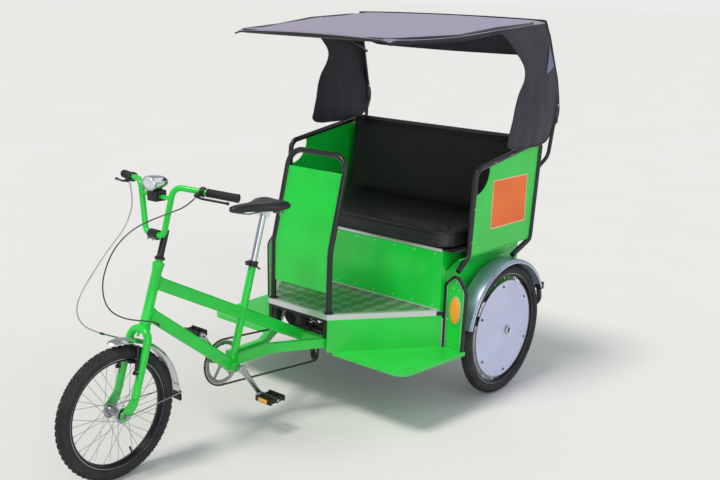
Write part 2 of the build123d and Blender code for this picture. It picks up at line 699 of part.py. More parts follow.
def shield():
    """Grab loop in front of the passengers' knees with its sheet panel."""
    foot = FLOOR_Z + 2.0 + SEAT_GAP
    top_x = POST_X - SHIELD_LEAN
    half = POST_Y - 3
    x = POST_X - 6
    route = [(x, -half, foot), (x, -half, SHIELD_BEND_Z), (top_x, -half, SHIELD_TOP_Z), (top_x, half, SHIELD_TOP_Z),
             (x, half, SHIELD_BEND_Z), (x, half, foot)]
    nodes["shield_loop"] = arc_tube(route, [200, 70, 70, 200], FRAME_TUBE_R)
    slope = (top_x - x) / (SHIELD_TOP_Z - SHIELD_BEND_Z)
    lean = (SHIELD_PANEL_HIGH_Z - SHIELD_BEND_Z) * slope
    t = SHEET
    outline = [(x, SHIELD_PANEL_LOW_Z), (x, SHIELD_BEND_Z), (x + lean, SHIELD_PANEL_HIGH_Z),
               (x + lean + t, SHIELD_PANEL_HIGH_Z), (x + t, SHIELD_BEND_Z), (x + t, SHIELD_PANEL_LOW_Z)]
    panel = side_plate(outline, -half, half) - nodes["shield_loop"]
    nodes["shield_panel"] = panel.solids().sort_by(SortBy.VOLUME)[-1]


def steps():
    """Folded sheet: an apron under the floor's slanting edge and a flat step beside it."""
    low = STEP_Z - SHEET
    rear = CORNER_X - HOOP_R
    front, back = POST_X + 12, CORNER_X + HOOP_R + 2
    inside, outside = SEAT_GAP, SEAT_GAP + SHEET
    apron = floor_plate([(front, edge_y(front, inside)), (back, edge_y(back, inside)),
                         (back, edge_y(back, outside)), (front, edge_y(front, outside))],
                        low, FLOOR_Z - TRIM_HEIGHT - SEAT_GAP)
    outer = [(STEP_FRONT_X, STEP_HALF), (rear, STEP_REAR_HALF)]
    inner = [(rear, DECK_HALF + SEAT_GAP), (CORNER_X + 2, DECK_HALF + SEAT_GAP),
             (STEP_FRONT_X, edge_y(STEP_FRONT_X, SEAT_GAP))]
    plan = Polyline(*[(x, y, low - STEP_LIP) for x, y in outer + inner], close=True)
    solid = extrude(make_face(plan), STEP_LIP + SHEET, dir=(0, 0, 1))
    corner = solid.edges().filter_by(Axis.Z).sort_by_distance(Vector(STEP_FRONT_X, STEP_HALF, STEP_Z))[0]
    solid = fillet(corner, STEP_CORNER_R)
    hollow = floor_plate([(STEP_FRONT_X - SHEET, edge_y(STEP_FRONT_X) - 60), (STEP_FRONT_X - SHEET, STEP_HALF - SHEET),
                          (rear - 10, STEP_REAR_HALF - SHEET), (rear - 10, DECK_HALF - 60)], low - STEP_LIP - 1, low)
    corner = hollow.edges().filter_by(Axis.Z).sort_by_distance(Vector(STEP_FRONT_X, STEP_HALF, STEP_Z))[0]
    hollow = fillet(corner, STEP_CORNER_R - SHEET)
    nodes["steps"] = both(apron + (solid - hollow))


def corner_panels():
    """Sheet that faces forward in front of each rear wheel, in a tube hoop, with its reflector."""
    x = CORNER_X
    inner = DECK_HALF + SEAT_GAP + HOOP_R
    peak = (inner + CORNER_OUT_Y) / 2
    foot = STEP_Z + SEAT_GAP
    width = CORNER_OUT_Y - inner
    route = [(inner, foot), (inner, CORNER_SHOULDER_Z + 20), (peak, CORNER_PEAK_Z), (CORNER_OUT_Y, CORNER_SHOULDER_Z),
             (CORNER_OUT_Y - width * 0.076, foot)]
    hoop = bent_tube([(x, y, z) for y, z in route], [width * 0.284, width * 0.227, width * 0.378], HOOP_R)
    panel = largest(front_plate(route, x - SHEET / 2, x + SHEET / 2) - hoop)
    low = x + SHEET / 2 + SEAT_GAP
    outline = Plane(origin=(low, peak, REFLECTOR_Z), z_dir=(1, 0, 0), x_dir=(0, 1, 0))
    lens = extrude(outline * Ellipse(REFLECTOR_HALF_W, REFLECTOR_HALF_H), REFLECTOR_T)
    nodes["corner_hoops"] = both(hoop)
    nodes["corner_panels"] = both(panel)
    nodes["corner_reflectors"] = both(lens)


def rear_line(z):
    """Place of the side frames' rear tube at a height."""
    foot_x = SIDE_REAR_X + 38
    return foot_x + (SIDE_REAR_X - foot_x) * (z - SIDE_LOW_Z) / (SIDE_RAIL_REAR_Z - SIDE_LOW_Z)


def side_frames():
    """Black tube round each cab side with its folded sheet panel and blank sign."""
    fender_x = -85.0
    on_fender = REAR_TYRE_R + sqrt((FENDER_R + FENDER_SEAT) ** 2 - fender_x ** 2)
    corners = [(SIDE_FRONT_X, SIDE_LOW_Z), (SIDE_FRONT_X - 22, SIDE_RAIL_FRONT_Z), (SIDE_REAR_X, SIDE_RAIL_REAR_Z),
               (SIDE_REAR_X + 38, SIDE_LOW_Z), (fender_x, on_fender)]
    nose = (CORNER_X - 4, CORNER_PEAK_Z + HOOP_R + 4)
    route = [nose] + corners
    tube = bent_tube([(x, SIDE_Y, z) for x, z in route], [40, 45, 30, 30], FRAME_TUBE_R)
    tube = largest(tube - nodes["corner_hoops"])
    sheet = side_plate(corners + [(fender_x, SIDE_LOW_Z)], SIDE_Y - SHEET / 2, SIDE_Y + SHEET / 2)
    notch = drum(110.0, SIDE_Y - 20, SIDE_Y + 20, SIDE_FRONT_X - 22, SIDE_RAIL_FRONT_Z)
    inner = DECK_HALF + SEAT_GAP
    drop = SIDE_Y - inner
    fold = [(SIDE_Y - SHEET / 2, SIDE_LOW_Z + 2), (SIDE_Y + SHEET / 2, SIDE_LOW_Z + 2),
            (SIDE_Y + SHEET / 2, SIDE_LOW_Z - 1), (inner + SHEET, SIDE_LOW_Z - drop + 1),
            (inner + SHEET, SIDE_LOW_Z - drop - 60), (inner, SIDE_LOW_Z - drop - 60), (inner, SIDE_LOW_Z - drop),
            (SIDE_Y - SHEET / 2, SIDE_LOW_Z - 1)]
    flange = front_plate(fold, fender_x, CORNER_X - SHEET / 2 - SEAT_GAP)
    sheet = largest(sheet + flange - notch - tube - nodes["corner_hoops"])
    x, z = SIGN_X, SIGN_Z
    low = SIDE_Y + SHEET / 2 + SEAT_GAP
    sign = side_plate([(x - SIGN_WIDTH / 2, z - SIGN_HEIGHT / 2), (x + SIGN_WIDTH / 2, z - SIGN_HEIGHT / 2),
                       (x + SIGN_WIDTH / 2, z + SIGN_HEIGHT / 2), (x - SIGN_WIDTH / 2, z + SIGN_HEIGHT / 2)],
                      low, low + SIGN_T, 6.0)
    nodes["side_frames"] = both(tube)
    nodes["side_panels"] = both(sheet)
    nodes["sign_plates"] = both(sign)


def seat():
    """Box between the wheels, the board on it, and the bench cushion and backrest."""
    board_low = SEAT_BASE_Z - SEAT_BASE_T
    nodes["seat_box"] = block((CAB_REAR_X, -DECK_HALF, FLOOR_Z), (BOX_FRONT_X, DECK_HALF, board_low))
    side = SIDE_Y - SHEET / 2 - SEAT_GAP
    board = block((CAB_REAR_X, -side, board_low), (BOX_FRONT_X, side, SEAT_BASE_Z))
    nodes["seat_board"] = largest(board - nodes["side_frames"])
    low = SEAT_BASE_Z + SEAT_GAP
    foot_x = rear_line(low) + BACK_OFFSET
    head_x = rear_line(BACK_TOP_Z) + BACK_OFFSET
    cushion_rear = foot_x + BACK_LOW_T + SEAT_GAP
    plan = [(CUSHION_FRONT_X, -CUSHION_HALF), (CUSHION_FRONT_X, CUSHION_HALF), (cushion_rear, CUSHION_HALF),
            (cushion_rear, -CUSHION_HALF)]
    cushion = floor_plate(plan, low, low + CUSHION_T)
    cushion = fillet(cushion.edges().filter_by(Axis.Z).sort_by(Axis.X)[-2:], 90.0)
    nodes["seat_cushion"] = fillet(cushion.faces().sort_by(Axis.Z)[-1].edges(), 20.0)
    back = side_plate([(foot_x + BACK_LOW_T, low), (head_x + BACK_TOP_T, BACK_TOP_Z), (head_x, BACK_TOP_Z),
                       (foot_x, low)], -CUSHION_HALF, CUSHION_HALF)
    nodes["backrest"] = fillet(back.edges().filter_by(Axis.Y).sort_by(Axis.Z)[-2:], 16.0)
    rail_z = SIDE_RAIL_REAR_Z - 11.0
    rail_x = rear_line(rail_z) + 8.0
    rail = drum(FRAME_TUBE_R, -SIDE_Y, SIDE_Y, rail_x, rail_z)
    nodes["backrest_rail"] = largest(rail - nodes["side_frames"] - nodes["side_panels"])
    top = rail_z - FRAME_TUBE_R - 18.0
    front = FRAME_TUBE_R + 2 * SEAT_GAP
    panel_low = SEAT_BASE_Z + SEAT_GAP
    nodes["back_panel"] = side_plate([(rear_line(panel_low) + front, panel_low), (rear_line(top) + front, top),
                                      (rear_line(top) + front + SHEET, top),
                                      (rear_line(panel_low) + front + SHEET, panel_low)], -SIDE_Y + 4, SIDE_Y - 4)


def rear_fenders():
    """Deep-edged arch over each rear tyre."""
    r, half, t = FENDER_R, FENDER_HALF, FENDER_T
    outer = [(r - 16, -half), (r - 3, -half), (r, -half + 3), (r, half - 3), (r - 3, half), (r - 16, half)]
    inner = [(r - 16, half - t), (r - 4, half - t), (r - t, half - 5), (r - t, -half + 5), (r - 4, -half + t),
             (r - 16, -half + t)]
    face = make_face(Polyline(*[(x, 0, y) for x, y in outer + inner], close=True))
    arch = Rot(90, 0, 0) * revolve(face, axis=Axis.Z, revolution_arc=140)
    arch = Pos(0, TRACK / 2, REAR_TYRE_R) * Rot(0, -12, 0) * arch
    nodes["rear_fenders"] = both(arch)


def rear_bumper():
    """Tube across the back with its ends turned up to a pair of reflectors, on two cranked arms."""
    ends = [(BUMPER_X + BUMPER_TURN_X, BUMPER_HALF, BUMPER_Z + BUMPER_TURN_Z), (BUMPER_X, BUMPER_HALF, BUMPER_Z)]
    route = ends + [(x, -y, z) for x, y, z in reversed(ends)]
    bar = arc_tube(route, [BUMPER_BEND, BUMPER_BEND], FRAME_TUBE_R)
    arm_z = FLOOR_Z - DECK_T - DECK_TUBE / 2
    wide = FRAME_TUBE_R + 0.5
    inner, outer = BUMPER_X + wide, BUMPER_X - wide
    arm = [(CAB_REAR_X - SEAT_GAP, arm_z + wide), (inner, arm_z + wide), (outer, arm_z - wide), (outer, BUMPER_Z),
           (inner, BUMPER_Z), (inner, arm_z - 2 * wide), (inner + wide, arm_z - wide),
           (CAB_REAR_X - SEAT_GAP, arm_z - wide)]
    for side in (1, -1):
        y = side * BUMPER_ARM_Y
        bar += side_plate(arm, y - BUMPER_ARM_T / 2, y + BUMPER_ARM_T / 2)
    nodes["rear_bumper"] = bar
    x, z = ends[0][0], ends[0][2]
    rise = FRAME_TUBE_R * sin(atan2(BUMPER_TURN_X, BUMPER_TURN_Z)) + SEAT_GAP
    lens = block((x - 14, BUMPER_HALF - 22, z + rise), (x + 8, BUMPER_HALF + 22, z + 34))
    nodes["rear_reflectors"] = both(lens)


# Canopy

def roof_line():
    """Corners of the roof's outside, from front to rear."""
    top = HOOD_TOP_REAR_Z
    return [(HOOD_FRONT_X, top - HOOD_FRONT_FALL), (HOOD_KNEE_X, top - HOOD_KNEE_FALL),
            (HOOD_FOLD_X, top - HOOD_FOLD_FALL), (HOOD_ROOF_REAR_X, top)]


def roof_z(x):
    """Height of the roof's outside."""
    line = roof_line()
    for (fore, low), (aft, high) in zip(line, line[1:]):
        if x >= aft:
            return low + (high - low) * (fore - x) / (fore - aft)
    return line[-1][1]


def rear_drop_x(z):
    """Place of the hood's rear edge above its waist."""
    foot = HOOD_REAR_X + 22
    return foot + (HOOD_ROOF_REAR_X - foot) * (z - HOOD_WAIST_Z - 70) / (HOOD_TOP_REAR_Z - HOOD_WAIST_Z - 70)


def canopy():
    """Fabric hood: a roof that narrows to the front, drop edges at its sides and rear, and two cheeks."""
    t = HOOD_T
    hem, waist = CHEEK_HEM_Z, CHEEK_WAIST_Z
    top = roof_line() + [(HOOD_REAR_X + 22, HOOD_WAIST_Z + 70), (HOOD_REAR_X, HOOD_WAIST_Z),
                         (HOOD_REAR_X + 32, HOOD_WAIST_Z - 90)]
    low = [(CHEEK_HEM_X - 285, HOOD_BOTTOM_Z), (CHEEK_HEM_X - 45, HOOD_BOTTOM_Z + 2), (CHEEK_HEM_X, hem),
           (CHEEK_HEM_X - 30, hem + 108), (CHEEK_WAIST_X + 45, waist - 70), (CHEEK_WAIST_X, waist),
           (CHEEK_WAIST_X + 64, waist + 87)]
    low += [(x, z - VALANCE) for x, z in reversed(roof_line()[:3])]
    outer = side_plate(top + low, -HOOD_HALF, HOOD_HALF)
    plan = [(HOOD_FRONT_X, HOOD_FRONT_HALF), (HOOD_KNEE_X, knee_half()), (HOOD_FOLD_X, HOOD_HALF),
            (HOOD_REAR_X - 4, HOOD_HALF)]
    outer &= floor_plate(plan + [(x, -y) for x, y in reversed(plan)], HOOD_BOTTOM_Z - 10, HOOD_TOP_REAR_Z + 10)
    outer &= cheek_lean(0.0, HOOD_REAR_X - 50, HOOD_FRONT_X + 50)
    inset = [(HOOD_FRONT_X - t, HOOD_FRONT_HALF - t + 1), (HOOD_KNEE_X - 1, knee_half() - t),
             (HOOD_FOLD_X - 1, HOOD_HALF - t), (HOOD_REAR_X - 100, HOOD_HALF - t)]
    inner = floor_plate(inset + [(x, -y) for x, y in reversed(inset)], HOOD_BOTTOM_Z - 50, HOOD_TOP_REAR_Z + 50)
    far = HOOD_REAR_X - 200
    under = [(x, z - t) for x, z in roof_line()]
    under[0] = (HOOD_FRONT_X + 10, under[0][1])
    under += [(far, under[-1][1]), (far, HOOD_BOTTOM_Z - 60), (HOOD_FRONT_X + 10, HOOD_BOTTOM_Z - 60)]
    inner &= side_plate(under, -HOOD_HALF - 10, HOOD_HALF + 10)
    inner &= cheek_lean(t, far - 10, HOOD_FRONT_X + 60)
    drop = [(rear_drop_x(REAR_DROP_Z), REAR_DROP_Z), (rear_drop_x(HOOD_TOP_REAR_Z - 1), HOOD_TOP_REAR_Z - 1),
            (rear_drop_x(HOOD_TOP_REAR_Z - 1) + t, HOOD_TOP_REAR_Z - 1), (rear_drop_x(REAR_DROP_Z) + t, REAR_DROP_Z)]
    behind = side_plate(drop, -HOOD_HALF, HOOD_HALF) & cheek_lean(0.5, far - 10, HOOD_FRONT_X + 60)
    nodes["canopy"] = largest(outer - inner + behind)


def cheek_lean(inwards, low, high):
    """Space between the two cheeks' faces, which lean in from the flare up to the roof."""
    slope = (HOOD_HALF - HOOD_TOP_HALF) / (HOOD_TOP_REAR_Z - HOOD_FLARE_Z)
    peak = HOOD_TOP_REAR_Z + 60
    half = [(HOOD_HALF - inwards, HOOD_BOTTOM_Z - 70), (HOOD_HALF - inwards, HOOD_FLARE_Z),
            (HOOD_HALF - inwards - slope * (peak - HOOD_FLARE_Z), peak)]
    return front_plate(half + [(-y, z) for y, z in reversed(half)], low, high)


def knee_half():
    """Half width of the roof where it starts to narrow quickly."""
    return max(HOOD_TOP_HALF - HOOD_KNEE_DRAW, (HOOD_TOP_HALF + HOOD_FRONT_HALF) / 2)


def canopy_frame():
    """Rear bow on the side frames, roof bow under the fabric and a brace on each side."""
    drop = HOOD_T + BOW_R + SEAT_GAP
    knee_y = HOOD_HALF - drop - 1
    y = HOOD_TOP_HALF - drop - 1
    rear_top = HOOD_ROOF_REAR_X + 12
    top_z = roof_z(rear_top) - drop - 1
    half = [(SIDE_REAR_X + 6, SIDE_Y, BOW_SEAT_Z), (HOOD_REAR_X + 50, SIDE_Y + 12, BOW_FOOT_Z),
            (HOOD_REAR_X + 28, knee_y, BOW_KNEE_Z), (rear_top, y, top_z)]
    bow = bent_tube(half + [(px, -py, pz) for px, py, pz in reversed(half)], [60, 90, 60, 60, 90, 60], BOW_R)
    nodes["rear_bow"] = largest(bow - nodes["side_frames"])
    back = rear_top + 2 * BOW_R + SEAT_GAP
    plan = [(rear_top + BOW_R, y - BOW_CORNER_DRAW), (back + 60, y), (HOOD_FOLD_X, y),
            (HOOD_KNEE_X, knee_half() - drop - 3), (HOOD_FRONT_X - drop - 2, HOOD_FRONT_HALF - drop - 1)]
    half = [(px, py, roof_z(px) - drop) for px, py in plan]
    loop = bent_tube(half + [(px, -py, pz) for px, py, pz in reversed(half)], [40, 60, 60, 60, 60, 60, 60, 40], BOW_R)
    loop = largest(loop - nodes["rear_bow"])
    low_z = (BOW_KNEE_Z + top_z) / 2
    low_x = (HOOD_REAR_X + 28 + rear_top) / 2
    inside = (y + knee_y) / 2 - BOW_R - BRACE_R - SEAT_GAP
    high_x = HOOD_FOLD_X - 50
    for side in (1, -1):
        loop += rod((low_x - 6, side * inside, low_z), (high_x, side * (y - 4), roof_z(high_x) - drop), BRACE_R)
    nodes["roof_bow"] = loop


# Drive

def belt(circles, y, width, height):
    """Closed chain band round (x, z, radius) circles, outside their radii."""
    plane = Plane(origin=(0, y - width / 2, 0), x_dir=(1, 0, 0), z_dir=(0, -1, 0))
    bands = []
    for grow in (height, 0.0):
        rims = [Pos(x, z) * Edge.make_circle(radius + grow) for x, z, radius in circles]
        bands.append(make_hull(rims))
    return extrude(plane * (bands[0] - bands[1]), width, dir=(0, 1, 0))


def sprocket(tip, teeth, low, high, x, z):
    """Toothed disc about an axis along Y."""
    root = tip - 5.0
    points = []
    for i in range(teeth):
        for share, radius in ((-0.28, root), (-0.14, tip), (0.14, tip), (0.28, root)):
            angle = 2 * pi * (i + share) / teeth
            points.append((x + radius * cos(angle), z + radius * sin(angle)))
    return side_plate(points, low, high)


def drive():
    """Jackshaft, tension pulleys and the chains from the cranks to the rear axle."""
    shaft = drum(12.0, -JACK_HALF, JACK_HALF, JACK_X, JACK_Z)
    shaft += sprocket(JACK_TIP_R, 18, RING_Y - RING_T / 2, RING_Y + RING_T / 2, JACK_X, JACK_Z)
    shaft += sprocket(JACK_TIP_R, 18, REAR_RING_Y - RING_T / 2, REAR_RING_Y + RING_T / 2, JACK_X, JACK_Z)
    nodes["jackshaft"] = shaft
    cage_y = RING_Y - CHAIN_WIDTH / 2 - 5
    cage = side_plate([(JACK_X - 20, JACK_Z + 20), (JACK_X + 20, JACK_Z + 20), (PULLEY_X + 12, PULLEY_Z - 12),
                       (PULLEY_X - 12, PULLEY_Z - 12)], cage_y - 3, cage_y)
    cage += drum(5.0, cage_y - 1, RING_Y + 3, PULLEY_X, PULLEY_Z)
    cage += sprocket(PULLEY_TIP_R, 10, RING_Y - RING_T / 2, RING_Y + RING_T / 2, PULLEY_X, PULLEY_Z)
    nodes["chain_tensioner"] = largest(cage - drum(12.0, -JACK_HALF, JACK_HALF, JACK_X, JACK_Z))
    seat_r = SEAT_GAP
    nodes["front_chain"] = belt([(BB_X, BB_Z, RING_TIP_R + CHAIN_GAP), (JACK_X, JACK_Z, JACK_TIP_R + seat_r),
                                 (PULLEY_X, PULLEY_Z, PULLEY_TIP_R + seat_r)], RING_Y, CHAIN_WIDTH, CHAIN_HEIGHT)
    nodes["rear_chain"] = belt([(JACK_X, JACK_Z, JACK_TIP_R + seat_r), (0, REAR_TYRE_R, REAR_RING_TIP_R + seat_r)],
                               REAR_RING_Y, CHAIN_WIDTH, CHAIN_HEIGHT)
    axle = drum(AXLE_TUBE_R, -AXLE_TUBE_END, AXLE_TUBE_END, 0, REAR_TYRE_R)
    axle += drum(DIFF_R, DIFF_IN, DIFF_OUT, 0, REAR_TYRE_R)
    axle += sprocket(REAR_RING_TIP_R, 36, REAR_RING_Y - RING_T / 2, REAR_RING_Y + RING_T / 2, 0, REAR_TYRE_R)
    for side in (-1, 1):
        low, high = sorted((side * (AXLE_TUBE_END - 45), side * (AXLE_TUBE_END + 1)))
        axle -= drum(REAR_AXLE_R + RUN_GAP, low, high, 0, REAR_TYRE_R)
    nodes["rear_axle_housing"] = axle


def cranks():
    """Spindle, arms, pedal pins and chainring, and a pedal on each pin."""
    angle = radians(CRANK_ANGLE)
    reach = Vector(cos(angle), 0, sin(angle)) * CRANK_LENGTH
    body = drum(SPINDLE_R, -ARM_OUT + 2, ARM_OUT - 2, BB_X, BB_Z)
    across = Vector(-sin(angle), 0, cos(angle))
    for side in (-1, 1):
        tip = Vector(BB_X, 0, BB_Z) - reach * side
        low, high = sorted((side * ARM_IN, side * ARM_OUT))
        root = Vector(BB_X, 0, BB_Z)
        blade = [root + across * 14, tip + across * 9, tip - across * 9, root - across * 14]
        body += side_plate([(p.X, p.Z) for p in blade], low, high)
        body += drum(18.0, low, high, BB_X, BB_Z) + drum(13.0, low, high, tip.X, tip.Z)
        low, high = sorted((side * (ARM_OUT - 2), side * PEDAL_OUT))
        body += drum(PEDAL_SPINDLE_R, low, high, tip.X, tip.Z)
        low, high = sorted((side * PEDAL_IN, side * PEDAL_OUT))
        pedal = block((tip.X - 46, low, tip.Z - 13), (tip.X + 46, high, tip.Z + 13))
        pedal -= drum(PEDAL_SPINDLE_R + RUN_GAP, -300, 300, tip.X, tip.Z)
        nodes["pedal_left" if side > 0 else "pedal_right"] = pedal
    for i in range(5):
        turn = angle + 2 * pi * i / 5 + pi / 5
        ahead, aside = Vector(cos(turn), 0, sin(turn)), Vector(-sin(turn), 0, cos(turn))
        root = Vector(BB_X, 0, BB_Z)
        far = root + ahead * 80
        arm = [root + aside * 10, far + aside * 6, far - aside * 6, root - aside * 10]
        body += side_plate([(p.X, p.Z) for p in arm], RING_Y - 2.5, RING_Y + 2.5)
    plate = sprocket(RING_TIP_R, RING_TEETH, RING_Y - RING_T / 2, RING_Y + RING_T / 2, BB_X, BB_Z)
    plate -= drum(78.0, -200, 200, BB_X, BB_Z)
    nodes["crank_set"] = body + plate


def build():
    front_wheel()
    rear_wheels()
    bicycle_frame()
    fork()
    handlebar()
    front_fender()
    chassis()
    deck()
    edge_trim()
    shield()
    steps()
    corner_panels()
    side_frames()
    seat()
    rear_fenders()
    rear_bumper()
    canopy()
    canopy_frame()
    drive()
    cranks()


build()
front_end = WHEELBASE + FRONT_TYRE_R
rear_end = BUMPER_X - FRAME_TUBE_R
shift = Pos(-(front_end + rear_end) / 2, 0, 0)
os.makedirs("parts", exist_ok=True)
for name, solid in nodes.items():
    export_step(shift * solid, f"parts/{name}.step")
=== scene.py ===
"""Looks of a pedal rickshaw: its finishes, tubes, wheels, panels and soft goods, and its plain studio.

Shapes are worked in millimetres forward, left and up from the ground under the rear axle, and turned to the
frame's metres when a piece is finished.
"""
import json
import logging
import math
from dataclasses import dataclass
from enum import Enum
from typing import Callable, Iterable, Sequence

import bmesh
import bpy
from mathutils import Matrix, Vector
from mathutils.bvhtree import BVHTree
from mathutils.geometry import convex_hull_2d


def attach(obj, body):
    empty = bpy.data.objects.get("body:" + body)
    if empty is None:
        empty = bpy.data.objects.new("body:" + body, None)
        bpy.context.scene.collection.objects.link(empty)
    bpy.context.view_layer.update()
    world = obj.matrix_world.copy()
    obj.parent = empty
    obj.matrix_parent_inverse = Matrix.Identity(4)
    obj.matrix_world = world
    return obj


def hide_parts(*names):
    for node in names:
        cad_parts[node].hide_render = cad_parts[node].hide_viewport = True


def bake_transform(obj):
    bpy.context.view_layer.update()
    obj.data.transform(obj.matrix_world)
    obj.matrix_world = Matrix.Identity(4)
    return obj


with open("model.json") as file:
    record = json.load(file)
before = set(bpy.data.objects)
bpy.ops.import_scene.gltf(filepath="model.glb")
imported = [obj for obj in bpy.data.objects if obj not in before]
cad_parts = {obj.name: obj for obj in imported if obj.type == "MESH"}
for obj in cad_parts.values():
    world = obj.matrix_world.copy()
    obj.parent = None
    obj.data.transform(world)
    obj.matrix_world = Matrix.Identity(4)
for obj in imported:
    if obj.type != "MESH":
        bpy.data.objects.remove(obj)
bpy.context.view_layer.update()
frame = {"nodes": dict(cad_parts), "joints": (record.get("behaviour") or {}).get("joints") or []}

log = logging.getLogger("rickshaw")

AXLE_X = next(j["pos_m"][0] for j in frame["joints"] if j["name"] == "rear_wheel_left_spin")
CAB_TO_FRAME = Matrix.Translation((AXLE_X, 0, 0)) @ Matrix.Scale(0.001, 4)
FRAME_TO_CAB = CAB_TO_FRAME.inverted()
LEFTWARD = Vector((0, 1, 0))
UPWARD = Vector((0, 0, 1))
FORWARD = Vector((1, 0, 0))
GAP = 0.3
SHARP = 38.0

Point = Sequence[float]


def add_object(name: str, data: bpy.types.ID) -> bpy.types.Object:
    """Makes an object of a mesh, curve, lamp or camera and puts it in the scene."""
    made = bpy.data.objects.new(name, data)
    bpy.context.scene.collection.objects.link(made)
    return made


def verts_in(geometry: Iterable) -> list[bmesh.types.BMVert]:
    """Picks the vertices out of mixed geometry."""
    return [g for g in geometry if isinstance(g, bmesh.types.BMVert)]


def facing(way: Point) -> Matrix:
    """Gives the turn that points z along a direction."""
    return Vector(way).to_track_quat("Z", "Y").to_matrix().to_4x4()


def round_angles(count: int, shift: float = 0.0) -> list[float]:
    """Divides a full turn evenly, in radians."""
    return [2 * math.pi * (i + shift) / count for i in range(count)]


def mirrored(half: Sequence[tuple[float, float]]) -> list[tuple[float, float]]:
    """Carries a lathe profile on through its mirror image along the axis."""
    return [*half, *((r, -t) for r, t in reversed(half))]


def over_centre(half: Sequence[Point]) -> list[Point]:
    """Carries a route on through its mirror image over the centre plane."""
    return [*half, *((x, -y, z) for x, y, z in reversed(half))]


def squared(value: float, power: float) -> float:
    """Raises a sine or cosine to a power and keeps its sign, which squares off a round section."""
    return math.copysign(abs(value) ** power, value)


def mesh_of(bm: bmesh.types.BMesh, name: str) -> bpy.types.Mesh:
    """Turns a mesh under work into a finished one and frees it."""
    mesh = bpy.data.meshes.new(name)
    bm.to_mesh(mesh)
    bm.free()
    return mesh


class Side(Enum):
    """Side of the vehicle, as the sign of its y."""

    LEFT = 1
    RIGHT = -1


class Tread(Enum):
    """Tread of a tyre: blocks in chevrons, or close rows of small blocks."""

    CHEVRON = "chevron"
    ROAD = "road"


# Finishes


def linear(code: str) -> tuple[float, float, float, float]:
    """Turns an sRGB hex colour to linear values.

    Args:
        code: Six hex digits, such as "20c040".

    Returns:
        Red, green, blue and an alpha of 1, linear.
    """
    shares = [int(code[i:i + 2], 16) / 255 for i in (0, 2, 4)]
    lin = [s / 12.92 if s <= 0.04045 else ((s + 0.055) / 1.055) ** 2.4 for s in shares]
    return (lin[0], lin[1], lin[2], 1.0)


def add_node(tree: bpy.types.NodeTree, kind: str, settings: dict | None = None,
             links: dict | None = None) -> bpy.types.Node:
    """Adds a node with its settings and links.

    Args:
        tree: The tree that gets the node.
        kind: The node's type name.
        settings: Values by property name, or by input name or number.
        links: Output sockets by input name or number.

    Returns:
        The new node.
    """
    node = tree.nodes.new(kind)
    for name, value in (settings or {}).items():
        if isinstance(name, str) and hasattr(node, name):
            setattr(node, name, value)
        else:
            node.inputs[name].default_value = value
    for name, source in (links or {}).items():
        tree.links.new(source, node.inputs[name])
    return node


@dataclass(frozen=True)
class Finish:
    """One surface finish: a base colour with a broad change of tone, and its shader values.

    patch_mm is the size of the tone patches, and grain_mm the size of the surface's own grain.
    """

    label: str
    slot: str
    colour: str
    shade: str
    roughness: float = 0.5
    metallic: float = 0.0
    coat: float = 0.0
    sheen: float = 0.0
    patch_mm: float = 160.0
    grain_mm: float = 5.0
    relief_mm: float = 0.05

    def material(self) -> bpy.types.Material:
        """Makes the material once and hands it back after that."""
        found = bpy.data.materials.get(self.label)
        if found:
            return found
        made = bpy.data.materials.new(self.label)
        made.use_nodes = True
        tree = made.node_tree
        shader = tree.nodes["Principled BSDF"]
        shader.inputs["Roughness"].default_value = self.roughness
        shader.inputs["Metallic"].default_value = self.metallic
        shader.inputs["Coat Weight"].default_value = self.coat
        shader.inputs["Coat Roughness"].default_value = 0.12
        shader.inputs["Sheen Weight"].default_value = self.sheen
        shader.inputs["Sheen Roughness"].default_value = 0.4
        self.paint(tree, shader)
        return made

    def place(self, tree: bpy.types.NodeTree) -> bpy.types.NodeSocket:
        """Gives the object coordinates."""
        return add_node(tree, "ShaderNodeTexCoord").outputs["Object"]

    def tones(self, tree: bpy.types.NodeTree, share: bpy.types.NodeSocket, low: float = 0.35,
              high: float = 0.65) -> bpy.types.Node:
        """Runs from the shade to the colour as a value rises between two bounds."""
        ramp = add_node(tree, "ShaderNodeValToRGB", links={"Fac": share})
        ramp.color_ramp.elements[0].position = low
        ramp.color_ramp.elements[0].color = linear(self.shade)
        ramp.color_ramp.elements[1].position = high
        ramp.color_ramp.elements[1].color = linear(self.colour)
        return ramp

    def colour_by(self, tree: bpy.types.NodeTree, shader: bpy.types.Node, share: bpy.types.NodeSocket,
                  low: float = 0.35, high: float = 0.65) -> None:
        """Gives the shader the tones that a value picks."""
        tree.links.new(self.tones(tree, share, low, high).outputs["Color"], shader.inputs["Base Color"])

    def patches(self, tree: bpy.types.NodeTree) -> bpy.types.NodeSocket:
        """Gives a slow cloud pattern."""
        return add_node(tree, "ShaderNodeTexNoise", {"Scale": 1000 / self.patch_mm, "Detail": 4.0},
                        {"Vector": self.place(tree)}).outputs["Fac"]

    def relief(self, tree: bpy.types.NodeTree, height: bpy.types.NodeSocket,
               shader: bpy.types.Node, strength: float = 1.0) -> None:
        """Raises the surface by a pattern, by relief_mm at most."""
        bump = add_node(tree, "ShaderNodeBump", {"Strength": strength, "Distance": self.relief_mm / 1000},
                        {"Height": height})
        tree.links.new(bump.outputs["Normal"], shader.inputs["Normal"])

    def paint(self, tree: bpy.types.NodeTree, shader: bpy.types.Node) -> None:
        """Lays the tone patches and the grain."""
        self.colour_by(tree, shader, self.patches(tree))
        grain = add_node(tree, "ShaderNodeTexNoise", {"Scale": 1000 / self.grain_mm, "Detail": 3.0},
                         {"Vector": self.place(tree)})
        self.relief(tree, grain.outputs["Fac"], shader)


